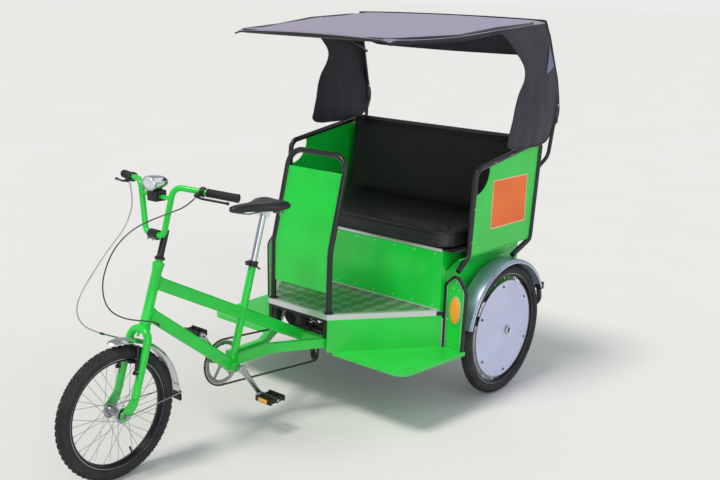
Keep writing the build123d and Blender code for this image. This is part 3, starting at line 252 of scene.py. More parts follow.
@dataclass(frozen=True)
class PowderCoat(Finish):
    """Baked enamel on steel: an even colour with orange peel, and road dust on its lowest parts."""

    dust: str = "8a8f7e"
    dust_top_mm: float = 420.0
    dust_share: float = 0.3

    def paint(self, tree: bpy.types.NodeTree, shader: bpy.types.Node) -> None:
        """Lays the enamel, its dust and its orange peel."""
        place = self.place(tree)
        patches = self.patches(tree)
        tones = self.tones(tree, patches)
        height = add_node(tree, "ShaderNodeSeparateXYZ", links={"Vector": place}).outputs["Z"]
        low = add_node(tree, "ShaderNodeMapRange",
                       {"From Min": 0.12, "From Max": self.dust_top_mm / 1000, "To Min": self.dust_share,
                        "To Max": 0.0},
                       {"Value": height})
        grit = add_node(tree, "ShaderNodeTexNoise", {"Scale": 28.0, "Detail": 6.0}, {"Vector": place})
        share = add_node(tree, "ShaderNodeMath", {"operation": "MULTIPLY"},
                         {0: low.outputs["Result"], 1: grit.outputs["Fac"]})
        mix = add_node(tree, "ShaderNodeMix", {"data_type": "RGBA", 7: linear(self.dust)},
                       {0: share.outputs[0], 6: tones.outputs["Color"]})
        tree.links.new(mix.outputs[2], shader.inputs["Base Color"])
        rough = add_node(tree, "ShaderNodeMapRange",
                         {"To Min": self.roughness - 0.06, "To Max": self.roughness + 0.12},
                         {"Value": patches})
        tree.links.new(rough.outputs["Result"], shader.inputs["Roughness"])
        peel = add_node(tree, "ShaderNodeTexNoise", {"Scale": 1000 / self.grain_mm, "Detail": 1.0},
                        {"Vector": place})
        self.relief(tree, peel.outputs["Fac"], shader, 0.6)


@dataclass(frozen=True)
class WovenCloth(Finish):
    """Coated canvas: crossed threads, a soft sheen, and long pale marks where it has been folded.

    thread_mm is drawn at four times the real half millimetre, so that it shows. The colour given for what
    faces up is
    painted light: a paler tone laid on upward faces in place of the light that falls from above.
    """

    thread_mm: float = 2.2
    painted_top_light: str = ""

    def paint(self, tree: bpy.types.NodeTree, shader: bpy.types.Node) -> None:
        """Lays the weave and the fold marks."""
        place = self.place(tree)
        threads = []
        for direction in ("X", "Y", "Z"):
            threads.append(add_node(tree, "ShaderNodeTexWave",
                                    {"bands_direction": direction, "Scale": 1000 / self.thread_mm / 20,
                                     "Distortion": 0.6, "Detail": 1.0}, {"Vector": place}).outputs["Fac"])
        cross = add_node(tree, "ShaderNodeMath", {"operation": "MULTIPLY"}, {0: threads[0], 1: threads[1]})
        weave = add_node(tree, "ShaderNodeMath", {"operation": "ADD"}, {0: cross.outputs[0], 1: threads[2]})
        streaks = add_node(tree, "ShaderNodeMapping", {"Scale": (2.0, 7.0, 5.0)}, {"Vector": place})
        folds = add_node(tree, "ShaderNodeTexNoise", {"Scale": 1.6, "Detail": 7.0, "Roughness": 0.6},
                         {"Vector": streaks.outputs["Vector"]})
        colour = self.tones(tree, folds.outputs["Fac"], 0.38, 0.72).outputs["Color"]
        # Painted light: faces that point up are mixed towards a paler colour, standing in for light from
        # above.
        if self.painted_top_light:
            normal = add_node(tree, "ShaderNodeNewGeometry").outputs["Normal"]
            rise = add_node(tree, "ShaderNodeSeparateXYZ", links={"Vector": normal}).outputs["Z"]
            share = add_node(tree, "ShaderNodeMapRange", {"From Min": 0.6, "From Max": 0.93}, {"Value": rise})
            colour = add_node(tree, "ShaderNodeMix", {"data_type": "RGBA", 7: linear(self.painted_top_light)},
                              {0: share.outputs["Result"], 6: colour}).outputs[2]
        tree.links.new(colour, shader.inputs["Base Color"])
        self.relief(tree, weave.outputs[0], shader, 0.7)


@dataclass(frozen=True)
class Vinyl(Finish):
    """Coated upholstery cloth, embossed with small leather cells."""

    def paint(self, tree: bpy.types.NodeTree, shader: bpy.types.Node) -> None:
        """Lays the cells and the rubbed places."""
        self.colour_by(tree, shader, self.patches(tree))
        cells = add_node(tree, "ShaderNodeTexVoronoi",
                         {"feature": "DISTANCE_TO_EDGE", "Scale": 1000 / self.grain_mm},
                         {"Vector": self.place(tree)})
        edge = add_node(tree, "ShaderNodeMapRange", {"From Max": 0.12}, {"Value": cells.outputs["Distance"]})
        self.relief(tree, edge.outputs["Result"], shader)


@dataclass(frozen=True)
class Brushed(Finish):
    """Drawn or brushed metal: fine lines along x in tone and roughness."""

    def paint(self, tree: bpy.types.NodeTree, shader: bpy.types.Node) -> None:
        """Lays the lines."""
        stretch = add_node(tree, "ShaderNodeMapping", {"Scale": (3.0, 60.0, 60.0)},
                           {"Vector": self.place(tree)})
        lines = add_node(tree, "ShaderNodeTexNoise", {"Scale": 12.0, "Detail": 5.0},
                         {"Vector": stretch.outputs["Vector"]})
        self.colour_by(tree, shader, lines.outputs["Fac"])
        rough = add_node(tree, "ShaderNodeMapRange",
                         {"To Min": self.roughness * 0.7, "To Max": self.roughness * 1.3},
                         {"Value": lines.outputs["Fac"]})
        tree.links.new(rough.outputs["Result"], shader.inputs["Roughness"])
        self.relief(tree, lines.outputs["Fac"], shader, 0.4)


@dataclass(frozen=True)
class Reflector(Finish):
    """Clear moulded plastic with a grid of small prisms behind it."""

    def paint(self, tree: bpy.types.NodeTree, shader: bpy.types.Node) -> None:
        """Lays the prisms."""
        prisms = add_node(tree, "ShaderNodeTexVoronoi",
                          {"feature": "F1", "distance": "MANHATTAN", "Scale": 1000 / self.grain_mm,
                           "Randomness": 0.0},
                          {"Vector": self.place(tree)})
        self.colour_by(tree, shader, prisms.outputs["Distance"], 0.1, 0.9)
        self.relief(tree, prisms.outputs["Distance"], shader)


@dataclass(frozen=True)
class TreadPlate(Finish):
    """Rolled aluminium floor plate: short raised bars that change direction from cell to cell."""

    cell_mm: float = 34.0

    def paint(self, tree: bpy.types.NodeTree, shader: bpy.types.Node) -> None:
        """Lays the bars."""
        place = self.place(tree)
        check = add_node(tree, "ShaderNodeTexChecker", {"Scale": 1000 / self.cell_mm}, {"Vector": place})
        bars = []
        for direction in ("X", "Y"):
            bars.append(add_node(tree, "ShaderNodeTexWave",
                                 {"bands_direction": direction, "Scale": 1000 / self.cell_mm * 3 / 20},
                                 {"Vector": place}).outputs["Fac"])
        pick = add_node(tree, "ShaderNodeMix", {"data_type": "FLOAT"},
                        {0: check.outputs["Fac"], 2: bars[0], 3: bars[1]})
        steep = add_node(tree, "ShaderNodeMapRange", {"From Min": 0.55, "From Max": 0.8},
                         {"Value": pick.outputs[0]})
        self.colour_by(tree, shader, steep.outputs["Result"], 0.1, 0.9)
        self.relief(tree, steep.outputs["Result"], shader)


GREEN = PowderCoat("bright_green_powder_coat", "green_enamel", "03d43e", "02c636", 0.34, coat=0.35,
                   grain_mm=7.0, relief_mm=0.04)
TUBE_BLACK = PowderCoat("black_satin_powder_coat", "black_tube", "17181b", "101114", 0.36, coat=0.15,
                        dust_share=0.2)
STEEL_BLACK = PowderCoat("black_chassis_paint", "black_steel", "1b1c1e", "121214", 0.5, dust="6b675c",
                         dust_share=0.45)
TYRE_BLACK = Finish("moulded_tyre_rubber", "tyre_rubber", "2b2b2d", "1a1a1c", 0.78, patch_mm=60, grain_mm=3.0)
RIM_BLACK = Finish("black_anodised_aluminium", "rim_and_spokes", "1c1d20", "141517", 0.36, 0.4, grain_mm=4.0)
SPOKE_STEEL = Brushed("drawn_spoke_steel", "rim_and_spokes", "b9bbbf", "8d8f94", 0.3, 1.0)
RIM_BRIGHT = Brushed("machined_rim_edge", "rim_and_spokes", "c9cbd2", "a5a8b0", 0.28, 1.0)
COVER = Finish("pale_satin_disc_paint", "cover_paint", "c9cde8", "bcc1de", 0.42, coat=0.2, patch_mm=220,
               grain_mm=8.0, relief_mm=0.03)
CHROME = Finish("chromed_steel", "steel_parts", "d8dade", "cfd1d6", 0.08, 1.0, relief_mm=0.01)
# Silver lacquer; its blue tint is a painted reflection of the sky.
FENDER = Finish("silver_lacquer_painted_sky_blue", "fender_silver", "9fb0c6", "8c9db4", 0.3, 0.55, coat=0.3, grain_mm=9.0,
                relief_mm=0.03)
POLISHED = Brushed("polished_stainless", "polished_fender", "d9dbde", "c3c5c9", 0.16, 1.0, relief_mm=0.01)
FLOOR_PLATE = TreadPlate("rolled_tread_plate", "tread_plate", "b9bdb8", "8f948f", 0.38, 0.8, relief_mm=1.2)
TRIM = Brushed("mill_finish_aluminium_angle", "edge_trim", "dcdee0", "c8cacd", 0.34, 0.7, relief_mm=0.02)
SIGN = Finish("orange_printed_board", "sign_orange", "f4762c", "ee6c22", 0.55, grain_mm=3.0, relief_mm=0.03)
SIGN_EDGE = Finish("pale_board_edge", "sign_orange", "f6c9a0", "efbb8c", 0.5)
SEAT_VINYL = Vinyl("black_embossed_vinyl", "vinyl", "1d1d20", "141416", 0.46, coat=0.12, grain_mm=4.0,
                   relief_mm=0.25)
BACK_VINYL = Vinyl("matt_black_vinyl", "vinyl", "17171a", "101012", 0.6, grain_mm=4.0, relief_mm=0.25)
PIPING = Finish("black_vinyl_piping", "vinyl", "0f0f11", "0b0b0c", 0.42)
# The hood's paler colour for upward faces is painted light from above.
HOOD = WovenCloth("dark_slate_coated_canvas", "hood_cloth", "30313c", "25262f", 0.7, sheen=0.1,
                  relief_mm=0.35, painted_top_light="948da4")
HOOD_PATCH = WovenCloth("lavender_canvas_patch", "hood_cloth", "75789c", "686b8e", 0.7, sheen=0.1,
                        relief_mm=0.35)
WEBBING = WovenCloth("black_strap_webbing", "hood_cloth", "1a1a1e", "121215", 0.75, sheen=0.3, relief_mm=0.5)
AMBER = Reflector("amber_reflector", "amber_lens", "ffa820", "e8820a", 0.16, coat=0.8, grain_mm=7.0,
                  relief_mm=0.8)
YELLOW = Reflector("yellow_pedal_reflector", "amber_lens", "f5b21e", "d98d0c", 0.2, coat=0.6, grain_mm=5.0,
                   relief_mm=0.5)
RED = Reflector("red_reflector", "red_lens", "c8141a", "8e0a0f", 0.16, coat=0.8, grain_mm=6.0, relief_mm=0.8)
PLASTIC = Finish("black_moulded_plastic", "black_plastic", "1b1b1d", "141416", 0.52, grain_mm=2.0,
                 relief_mm=0.06)
LENS = Reflector("clear_ribbed_lens", "clear_lens", "e3e8ec", "aab2ba", 0.08, 0.2, coat=1.0, grain_mm=6.0,
                 relief_mm=0.6)
STEEL = Brushed("zinc_plated_steel", "steel_parts", "b4b6ba", "94969b", 0.3, 1.0)
ALLOY = Brushed("forged_crank_alloy", "steel_parts", "c3c5c9", "a4a6ab", 0.26, 1.0)
CHAIN = Brushed("oiled_chain_steel", "chain_steel", "6f675c", "4c453c", 0.42, 1.0)
SADDLE = Vinyl("black_saddle_skin", "saddle_skin", "222225", "18181a", 0.44, coat=0.15, grain_mm=3.0,
               relief_mm=0.15)
CABLE_COVER = Finish("black_vinyl_cable_cover", "cable_cover", "161618", "101012", 0.32, coat=0.3)
CABLE_GREY = Finish("grey_vinyl_cable_cover", "cable_cover", "a6abb0", "8c9197", 0.3, coat=0.4)
GRIP = Finish("soft_black_grip_rubber", "grip_rubber", "1b1b1c", "121213", 0.7, grain_mm=2.0, relief_mm=0.08)
FLOOR = Finish("studio_floor", "none", "dededd", "dcdcda", 0.9, patch_mm=900)


# Making meshes


class Blank:
    """A mesh under work, in millimetres from the ground under the rear axle."""

    def __init__(self) -> None:
        """Starts with nothing."""
        self.bm = bmesh.new()

    def edges_of(self, verts: Iterable[bmesh.types.BMVert]) -> list[bmesh.types.BMEdge]:
        """Gives the edges that join the given vertices to each other, in the same order on each run."""
        kept = dict.fromkeys(verts)
        return list(dict.fromkeys(e for v in kept for e in v.link_edges if e.other_vert(v) in kept))

    def push(self, ring: list[bmesh.types.BMEdge], step: Vector) -> list[bmesh.types.BMEdge]:
        """Draws a ring of edges out along a straight step and gives the new ring."""
        made = bmesh.ops.extrude_edge_only(self.bm, edges=ring)["geom"]
        fresh = verts_in(made)
        bmesh.ops.translate(self.bm, verts=fresh, vec=step)
        return self.edges_of(fresh)

    def bend(self, ring: list[bmesh.types.BMEdge], centre: Vector, axis: Vector, turn: float,
             steps: int) -> list[bmesh.types.BMEdge]:
        """Spins a ring of edges about an axis and gives the last ring."""
        verts = list(dict.fromkeys(v for e in ring for v in e.verts))
        made = bmesh.ops.spin(self.bm, geom=verts + ring, cent=centre, axis=axis, angle=turn, steps=steps,
                              use_merge=False)["geom_last"]
        return self.edges_of(verts_in(made))

    def tube(self, route: Sequence[Point], bends: Sequence[float], radius: float, sides: int = 20,
             step: float = 9.0) -> "Blank":
        """Bends a round tube along straight runs.

        Args:
            route: The corner points of its centre line, ends included.
            bends: The bend radius at each inner corner.
            radius: Outside radius of the tube.
            sides: Facets round it.
            step: Degrees between rings in a bend.

        Returns:
            This blank.
        """
        points = [Vector(p) for p in route]
        start = bmesh.ops.create_circle(self.bm, segments=sides, radius=radius,
                                        matrix=Matrix.Translation(points[0]) @ facing(points[1] - points[0]))
        ring = self.edges_of(start["verts"])
        first, place = ring, points[0]
        for corner, after, bend in zip(points[1:], points[2:], bends):
            back = (place - corner).normalized()
            ahead = (after - corner).normalized()
            turn = math.pi - back.angle(ahead)
            reach = bend * math.tan(turn / 2)
            ring = self.push(ring, corner + back * reach - place)
            centre = corner + (back + ahead).normalized() * math.hypot(reach, bend)
            steps = max(2, round(math.degrees(turn) / step))
            ring = self.bend(ring, centre, ahead.cross(back), turn, steps)
            place = corner + ahead * reach
        ring = self.push(ring, points[-1] - place)
        for end in (first, ring):
            bmesh.ops.edgeloop_fill(self.bm, edges=end)
        return self

    def rod(self, start: Point, end: Point, radius: float, sides: int = 20,
            tip: float | None = None) -> "Blank":
        """Puts a round bar between two points, tapering to tip if that is given."""
        a, b = Vector(start), Vector(end)
        bmesh.ops.create_cone(self.bm, cap_ends=True, segments=sides, radius1=radius,
                              radius2=radius if tip is None else tip, depth=(b - a).length,
                              matrix=Matrix.Translation((a + b) / 2) @ facing(b - a))
        return self

    def block(self, low: Point, high: Point, turn: Matrix | None = None) -> "Blank":
        """Puts a box between two corners, turned about its middle if a matrix is given."""
        a, b = Vector(low), Vector(high)
        middle, size = Matrix.Translation((a + b) / 2), Matrix.Diagonal((*(b - a), 1))
        bmesh.ops.create_cube(self.bm, size=1.0, matrix=middle @ (turn or Matrix.Identity(4)) @ size)
        return self

    def beam(self, start: Point, end: Point, width: float, height: float, round_: float) -> "Blank":
        """Puts a rectangular tube with rounded edges between two points, its width held level."""
        a, b = Vector(start), Vector(end)
        along = (b - a).normalized()
        side = UPWARD.cross(along).normalized()
        turn = Matrix((side, along.cross(side), along)).transposed().to_4x4()
        made = bmesh.ops.create_cube(self.bm, size=1.0, matrix=Matrix.Translation((a + b) / 2) @ turn
                                     @ Matrix.Diagonal((width, height, (b - a).length, 1)))
        long_ = [e for e in self.edges_of(made["verts"])
                 if abs((e.verts[0].co - e.verts[1].co).normalized().dot(along)) > 0.99]
        bmesh.ops.bevel(self.bm, geom=long_, offset=round_, offset_type="OFFSET", segments=4, profile=0.5,
                        affect="EDGES", material=-1)
        return self

    def plate(self, outline: Sequence[Point], thickness: Point) -> "Blank":
        """Makes a flat plate from its outline and the step through its thickness."""
        verts = [self.bm.verts.new(p) for p in outline]
        face = self.bm.faces.new(verts)
        made = bmesh.ops.extrude_face_region(self.bm, geom=[face])["geom"]
        bmesh.ops.translate(self.bm, verts=verts_in(made), vec=Vector(thickness))
        return self

    def lathe(self, profile: Sequence[tuple[float, float]], origin: Point, axis: Vector, start: Vector,
              arc: float = 360.0, steps: int = 64, closed: bool = True) -> "Blank":
        """Turns a profile about an axis.

        Args:
            profile: Radius and place along the axis of each point.
            origin: A point on the axis.
            axis: Its direction.
            start: Direction, square to the axis, in which the profile lies at first.
            arc: Degrees turned, by the right hand about the axis.
            steps: Steps round the arc.
            closed: Whether the profile's last point joins its first.

        Returns:
            This blank.
        """
        origin = Vector(origin)
        verts = [self.bm.verts.new(origin + start * r + axis * t) for r, t in profile]
        pairs = list(zip(verts, verts[1:])) + ([(verts[-1], verts[0])] if closed else [])
        edges = [self.bm.edges.new(pair) for pair in pairs]
        full = arc >= 360
        made = bmesh.ops.spin(self.bm, geom=verts + edges, cent=origin, axis=axis, angle=math.radians(arc),
                              steps=steps, use_merge=full)["geom_last"]
        if closed and not full:
            last = self.edges_of(verts_in(made))
            for end in (edges, last):
                bmesh.ops.edgeloop_fill(self.bm, edges=end)
        return self

    def closed_ring(self, points: Sequence[Point]) -> list[bmesh.types.BMEdge]:
        """Joins points into a closed ring of edges."""
        verts = [self.bm.verts.new(p) for p in points]
        return [self.bm.edges.new(pair) for pair in zip(verts, verts[1:] + verts[:1])]

    def loft(self, rings: Sequence[Sequence[Point]]) -> "Blank":
        """Bridges closed rings of points one to the next and closes both ends."""
        loops = [self.closed_ring(ring) for ring in rings]
        for one, other in zip(loops, loops[1:]):
            bmesh.ops.bridge_loops(self.bm, edges=one + other)
        for end in (loops[0], loops[-1]):
            bmesh.ops.edgeloop_fill(self.bm, edges=end)
        return self

    def dome(self, centre: Point, out: Vector, radius: float, height: float) -> "Blank":
        """Puts a low round head, as of a rivet or screw, on a surface."""
        shoulder, neck = height * 0.6, radius * 0.86
        for low, high, big, small in ((-0.4, shoulder, radius, neck),
                                      (shoulder, height, neck, radius * 0.45)):
            middle = Vector(centre) + Vector(out) * (low + high) / 2
            bmesh.ops.create_cone(self.bm, cap_ends=True, segments=10, radius1=big, radius2=small,
                                  depth=high - low, matrix=Matrix.Translation(middle) @ facing(out))
        return self

    def bevelled(self, width: float, segments: int = 2, angle: float = 35.0) -> "Blank":
        """Rounds every edge that turns by more than an angle."""
        bmesh.ops.remove_doubles(self.bm, verts=self.bm.verts, dist=0.001)
        sharp = [e for e in self.bm.edges
                 if len(e.link_faces) == 2 and e.calc_face_angle(0.0) > math.radians(angle)]
        bmesh.ops.bevel(self.bm, geom=sharp, offset=width, offset_type="OFFSET", segments=segments,
                        profile=0.5, affect="EDGES", clamp_overlap=True, material=-1)
        return self

    def turned(self, matrix: Matrix) -> "Blank":
        """Moves all that is made so far."""
        bmesh.ops.transform(self.bm, matrix=matrix, verts=self.bm.verts)
        return self

    def take(self, other: "Blank") -> "Blank":
        """Adds another blank's mesh to this one and frees the other."""
        mesh = mesh_of(other.bm, "taken")
        self.bm.from_mesh(mesh)
        bpy.data.meshes.remove(mesh)
        return self

    def both(self) -> "Blank":
        """Adds the twin on the other side of the centre plane."""
        self.bm.normal_update()
        whole = self.bm.verts[:] + self.bm.edges[:] + self.bm.faces[:]
        twin = bmesh.ops.duplicate(self.bm, geom=whole)["geom"]
        bmesh.ops.scale(self.bm, vec=(1, -1, 1), verts=verts_in(twin))
        bmesh.ops.reverse_faces(self.bm, faces=[g for g in twin if isinstance(g, bmesh.types.BMFace)])
        return self

    def piece(self, name: str, finish: Finish, body: str, stands_for: Sequence[str] = (),
              smooth: float = SHARP) -> bpy.types.Object:
        """Finishes the mesh as an object of the vehicle.

        Args:
            name: The object's name.
            finish: Its surface.
            body: The body that it rides on.
            stands_for: The plain nodes that it is shown in place of.
            smooth: Edges that turn by more degrees than this stay sharp.

        Returns:
            The object, at the frame's origin.
        """
        bmesh.ops.recalc_face_normals(self.bm, faces=self.bm.faces)
        bmesh.ops.transform(self.bm, matrix=CAB_TO_FRAME, verts=self.bm.verts)
        return dress(mesh_of(self.bm, name), name, finish, body, stands_for, smooth)


def dress(mesh: bpy.types.Mesh, name: str, finish: Finish, body: str, stands_for: Sequence[str] = (),
          smooth: float = SHARP) -> bpy.types.Object:
    """Makes an object of a mesh in the frame's metres, with its finish and body."""
    mesh.polygons.foreach_set("use_smooth", [True] * len(mesh.polygons))
    mesh.set_sharp_from_angle(angle=math.radians(smooth))
    mesh.materials.clear()
    mesh.materials.append(finish.material())
    made = add_object(name, mesh)
    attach(made, body)
    if stands_for:
        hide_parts(*stands_for)
    log.info("%s: %d faces on %s", name, len(mesh.polygons), body)
    return made


def paint_nodes(finish: Finish, *names: str) -> None:
    """Gives a finish to nodes whose own shape is shown."""
    for name in names:
        for place in frame["nodes"][name].material_slots:
            place.material = finish.material()
        log.info("%s keeps its shape, in %s", name, finish.label)


def curve_piece(name: str, points: Sequence[Point], radius: float, closed: bool = False) -> bpy.types.Object:
    """Draws a smooth round line through the space by its control points.

    Args:
        name: The object's name.
        points: Control points, in the cab's millimetres.
        radius: Half its thickness, in millimetres.
        closed: Whether its end joins its start.

    Returns:
        The curve, not yet dressed.
    """
    data = bpy.data.curves.new(name, "CURVE")
    data.dimensions = "3D"
    data.bevel_depth = radius / 1000
    data.bevel_resolution = 3
    data.use_fill_caps = True
    data.resolution_u = 8
    spline = data.splines.new("NURBS")
    spline.points.add(len(points) - 1)
    for point, place in zip(spline.points, points):
        point.co = (*(CAB_TO_FRAME @ Vector(place)), 1.0)
    spline.use_cyclic_u = closed
    spline.order_u = 3
    spline.use_endpoint_u = not closed
    return add_object(name, data)


def evaluated(source: bpy.types.Object, name: str) -> bpy.types.Mesh:
    """Reads an object's final mesh and takes the object away."""
    graph = bpy.context.evaluated_depsgraph_get()
    mesh = bpy.data.meshes.new_from_object(source.evaluated_get(graph), depsgraph=graph)
    mesh.name = name
    data = source.data
    bpy.data.objects.remove(source)
    if isinstance(data, bpy.types.Curve):
        bpy.data.curves.remove(data)
    return mesh


def sewn_cord(name: str, points: Sequence[Point], closed: bool) -> None:
    """Lays a round sewn edge along points."""
    line = curve_piece(name, points, 3.0, closed)
    dress(evaluated(line, name), name, PIPING, "frame", (), 60.0)


def smoothstep(value: float) -> float:
    """Eases a value from 0 to 1."""
    t = min(1.0, max(0.0, value))
    return t * t * (3 - 2 * t)


def along_table(table: Sequence[tuple[float, float]], value: float) -> float:
    """Reads a table by its first values, in straight lines between its rows."""
    rows = sorted(table)
    if value <= rows[0][0]:
        return rows[0][1]
    for (a, low), (b, high) in zip(rows, rows[1:]):
        if value <= b:
            return low + (high - low) * (value - a) / (b - a)
    return rows[-1][1]


# The bicycle front end


@dataclass(frozen=True)
class SteeringAxis:
    """The leaning line that the fork, stem and handlebar turn about."""

    axle: tuple[float, float, float] = (1745.0, 0.0, 257.0)
    angle: float = 73.0
    offset: float = 41.0

    @property
    def up(self) -> Vector:
        """Direction up the axis."""
        return Vector((-math.cos(math.radians(self.angle)), 0, math.sin(math.radians(self.angle))))

    @property
    def fore(self) -> Vector:
        """Direction square to the axis, forwards."""
        return Vector((math.sin(math.radians(self.angle)), 0, math.cos(math.radians(self.angle))))

    def at(self, along: float, fore: float = 0.0, y: float = 0.0) -> Vector:
        """Point at a distance up the axis, moved forward and sideways."""
        return Vector(self.axle) + self.up * along + self.fore * (fore - self.offset) + Vector((0, y, 0))


@dataclass(frozen=True)
class BicycleFrame:
    """Head tube, main tubes, seat tube and saddle."""

    axis: SteeringAxis = SteeringAxis()
    head_low: float = 348.0
    head_high: float = 560.0
    tube_width: float = 30.0
    tube_height: float = 50.0
    bottom_bracket: tuple[float, float, float] = (1170.0, 0.0, 288.0)
    seat_angle: float = 74.0
    seat_tube_length: float = 440.0
    saddle_top: float = 958.0
    saddle_length: float = 270.0

    @property
    def lean(self) -> Vector:
        """Direction up the seat tube."""
        return Vector((-math.cos(math.radians(self.seat_angle)), 0, math.sin(math.radians(self.seat_angle))))

    @property
    def rail(self) -> Vector:
        """Place on the seat tube's line at the height of the saddle's rails."""
        foot, lean = Vector(self.bottom_bracket), self.lean
        return foot + lean * ((self.saddle_top - 56 - foot.z) / lean.z)

    def build(self) -> None:
        """Makes every piece of the bicycle frame."""
        self.head_tube()
        self.main_tubes()
        self.seat_tube()
        self.saddle()

    def head_tube(self) -> None:
        """Head tube with a collar and a bearing cup at each end."""
        low, high = self.head_low, self.head_high
        profile = [(15.2, low - 10), (21, low - 10), (22.5, low - 8.5), (22.5, low - 1), (20.5, low),
                   (20.5, low + 14), (19, low + 16), (19, high - 16), (20.5, high - 14), (20.5, high),
                   (22.5, high + 1), (22.5, high + 13), (20, high + 15), (15.2, high + 15)]
        Blank().lathe(profile, self.axis.at(0), self.axis.up, LEFTWARD, steps=40).piece(
            "head_tube_with_cups", GREEN, "frame", ["head_tube"])

    def main_tubes(self) -> None:
        """The two slanting tubes, with their weld beads."""
        foot = Vector((757.0, 0, 322.0))
        head = self.axis.at(500.0)
        top = Blank().beam(head, foot, self.tube_width, self.tube_height, 9.0)
        top.piece("top_tube", GREEN, "frame", ["top_tube_front", "top_tube_rear"])
        low_head = self.axis.at(382.0)
        Blank().beam(low_head, self.bottom_bracket, self.tube_width, self.tube_height, 9.0).piece(
            "down_tube_dressed", GREEN, "frame", ["down_tube"])
        beads = Blank()
        for start, end, reach in ((head, foot, 16.0), (low_head, Vector(self.bottom_bracket), 16.0),
                                  (Vector(self.bottom_bracket), low_head, 17.0)):
            self.weld(beads, start, end, reach)
        beads.piece("weld_beads", GREEN, "frame")

    def weld(self, blank: Blank, start: Vector, end: Vector, reach: float) -> None:
        """Lays a bead of overlapping drops round a tube's end."""
        along = (end - start).normalized()
        up = along.cross(LEFTWARD).normalized()
        half_w, half_h = self.tube_width / 2, self.tube_height / 2
        for angle in round_angles(28):
            side, rise = math.cos(angle), math.sin(angle)
            scale = 1 / max(abs(side) ** 4 + abs(rise) ** 4, 1e-6) ** 0.25
            place = start + along * (reach + abs(rise * scale) * 4)
            place += LEFTWARD * side * scale * half_w + up * rise * scale * half_h
            bmesh.ops.create_icosphere(blank.bm, subdivisions=1, radius=3.6, matrix=Matrix.Translation(place))

    def seat_tube(self) -> None:
        """Seat tube on the bottom bracket shell, with its clamp and the polished post."""
        foot, lean = Vector(self.bottom_bracket), self.lean
        top = foot + lean * self.seat_tube_length
        body = Blank().rod(foot, top - lean * 2, 16.0, 28)
        shell = mirrored([(0, -34), (19, -34), (20, -33)])
        body.lathe(shell, foot, LEFTWARD, FORWARD, steps=36, closed=False)
        body.piece("seat_tube_with_shell", GREEN, "frame", ["seat_tube"])
        collar = [(13.9, 0), (13.9, 24), (19.5, 24), (21, 22.5), (21, 14), (19.4, 13), (19.4, 11), (21, 10),
                  (21, 1.5), (19.5, 0)]
        clamp = Blank().lathe(collar, top - lean * 24, lean, LEFTWARD, steps=36)
        fore = lean.cross(LEFTWARD).normalized()
        hub = top - lean * 12 - fore * 25
        clamp.rod(hub - LEFTWARD * 19, hub + LEFTWARD * 15, 3.2, 12)
        clamp.block(hub - Vector((7, 11, 8)), hub + Vector((9, 11, 8)))
        clamp.tube([hub + LEFTWARD * 15, hub + LEFTWARD * 26, hub + LEFTWARD * 30 + fore * 40 - lean * 16],
                   [9.0], 3.6, 10)
        clamp.piece("seat_clamp", TUBE_BLACK, "frame")
        rail = self.rail
        post = Blank().rod(top - lean * 150, rail, 13.5, 28)
        post.rod(rail + Vector((0, -25, 0)), rail + Vector((0, 25, 0)), 13.0, 20)
        post.block(rail + Vector((-20, -24, 6)), rail + Vector((20, 24, 12)))
        post.piece("polished_seat_post", CHROME, "frame", ["seat_post"])
        marks = Blank()
        for i in range(6):
            marks.rod(top + lean * (30 + i * 22), top + lean * (30.8 + i * 22), 13.65, 28)
        marks.piece("seat_post_height_marks", STEEL, "frame")

    def saddle(self) -> None:
        """Wide saddle lofted from nose to tail, with its rails and springs."""
        rail = self.rail
        nose = rail.x + 184.0
        tail = nose - self.saddle_length
        rings = []
        for share, half, rise, drop in ((0.0, 12, -8, 18), (0.05, 21, -2, 30), (0.25, 25, 0, 34),
                                        (0.45, 34, -3, 36), (0.62, 62, -5, 38), (0.78, 92, -3, 40),
                                        (0.92, 94, 0, 40), (0.985, 78, -6, 30), (1.0, 60, -14, 22)):
            x = nose - self.saddle_length * share
            top = self.saddle_top + rise
            low = top - drop
            ring = []
            for angle in round_angles(20):
                side, lift = squared(math.cos(angle), 0.75), squared(math.sin(angle), 0.6)
                deep = smoothstep(share * 3) if lift > 0 else 0
                groove = 4.0 * math.exp(-(side * half / 9.0) ** 2) * deep
                ring.append((x, side * half, (top + low) / 2 + lift * (top - low) / 2 - groove))
            rings.append(ring)
        seat = Blank().loft(rings).piece("saddle_pad", SADDLE, "frame", ["saddle"], 60.0)
        seat.modifiers.new("round", "SUBSURF").levels = 1
        seat.modifiers["round"].render_levels = 1
        under = Blank()
        for side in (-1, 1):
            y = side * 22.0
            under.tube([(nose - 30, side * 8, self.saddle_top - 32), (nose - 80, y, rail.z + 15),
                        (rail.x - 40, y, rail.z + 15), (tail + 35, side * 46, self.saddle_top - 34)],
                       [30, 30], 3.5, 12)
            self.spring(under, Vector((tail + 50, side * 60, rail.z + 2)))
        under.piece("saddle_rails_and_springs", STEEL, "frame")

    def spring(self, blank: Blank, foot: Vector) -> None:
        """Winds one upright coil spring."""
        turns, steps, radius, pitch = 4, 12, 13.0, 8.0
        made = bmesh.ops.create_circle(blank.bm, segments=8, radius=2.2,
                                       matrix=Matrix.Translation(foot + Vector((radius, 0, 0)))
                                       @ Matrix.Rotation(math.radians(90), 4, "X"))
        verts = made["verts"]
        ring = blank.edges_of(verts)
        bmesh.ops.spin(blank.bm, geom=list(verts) + ring, cent=foot, axis=UPWARD,
                       dvec=Vector((0, 0, pitch / steps)), angle=2 * math.pi * turns, steps=turns * steps,
                       use_merge=False)


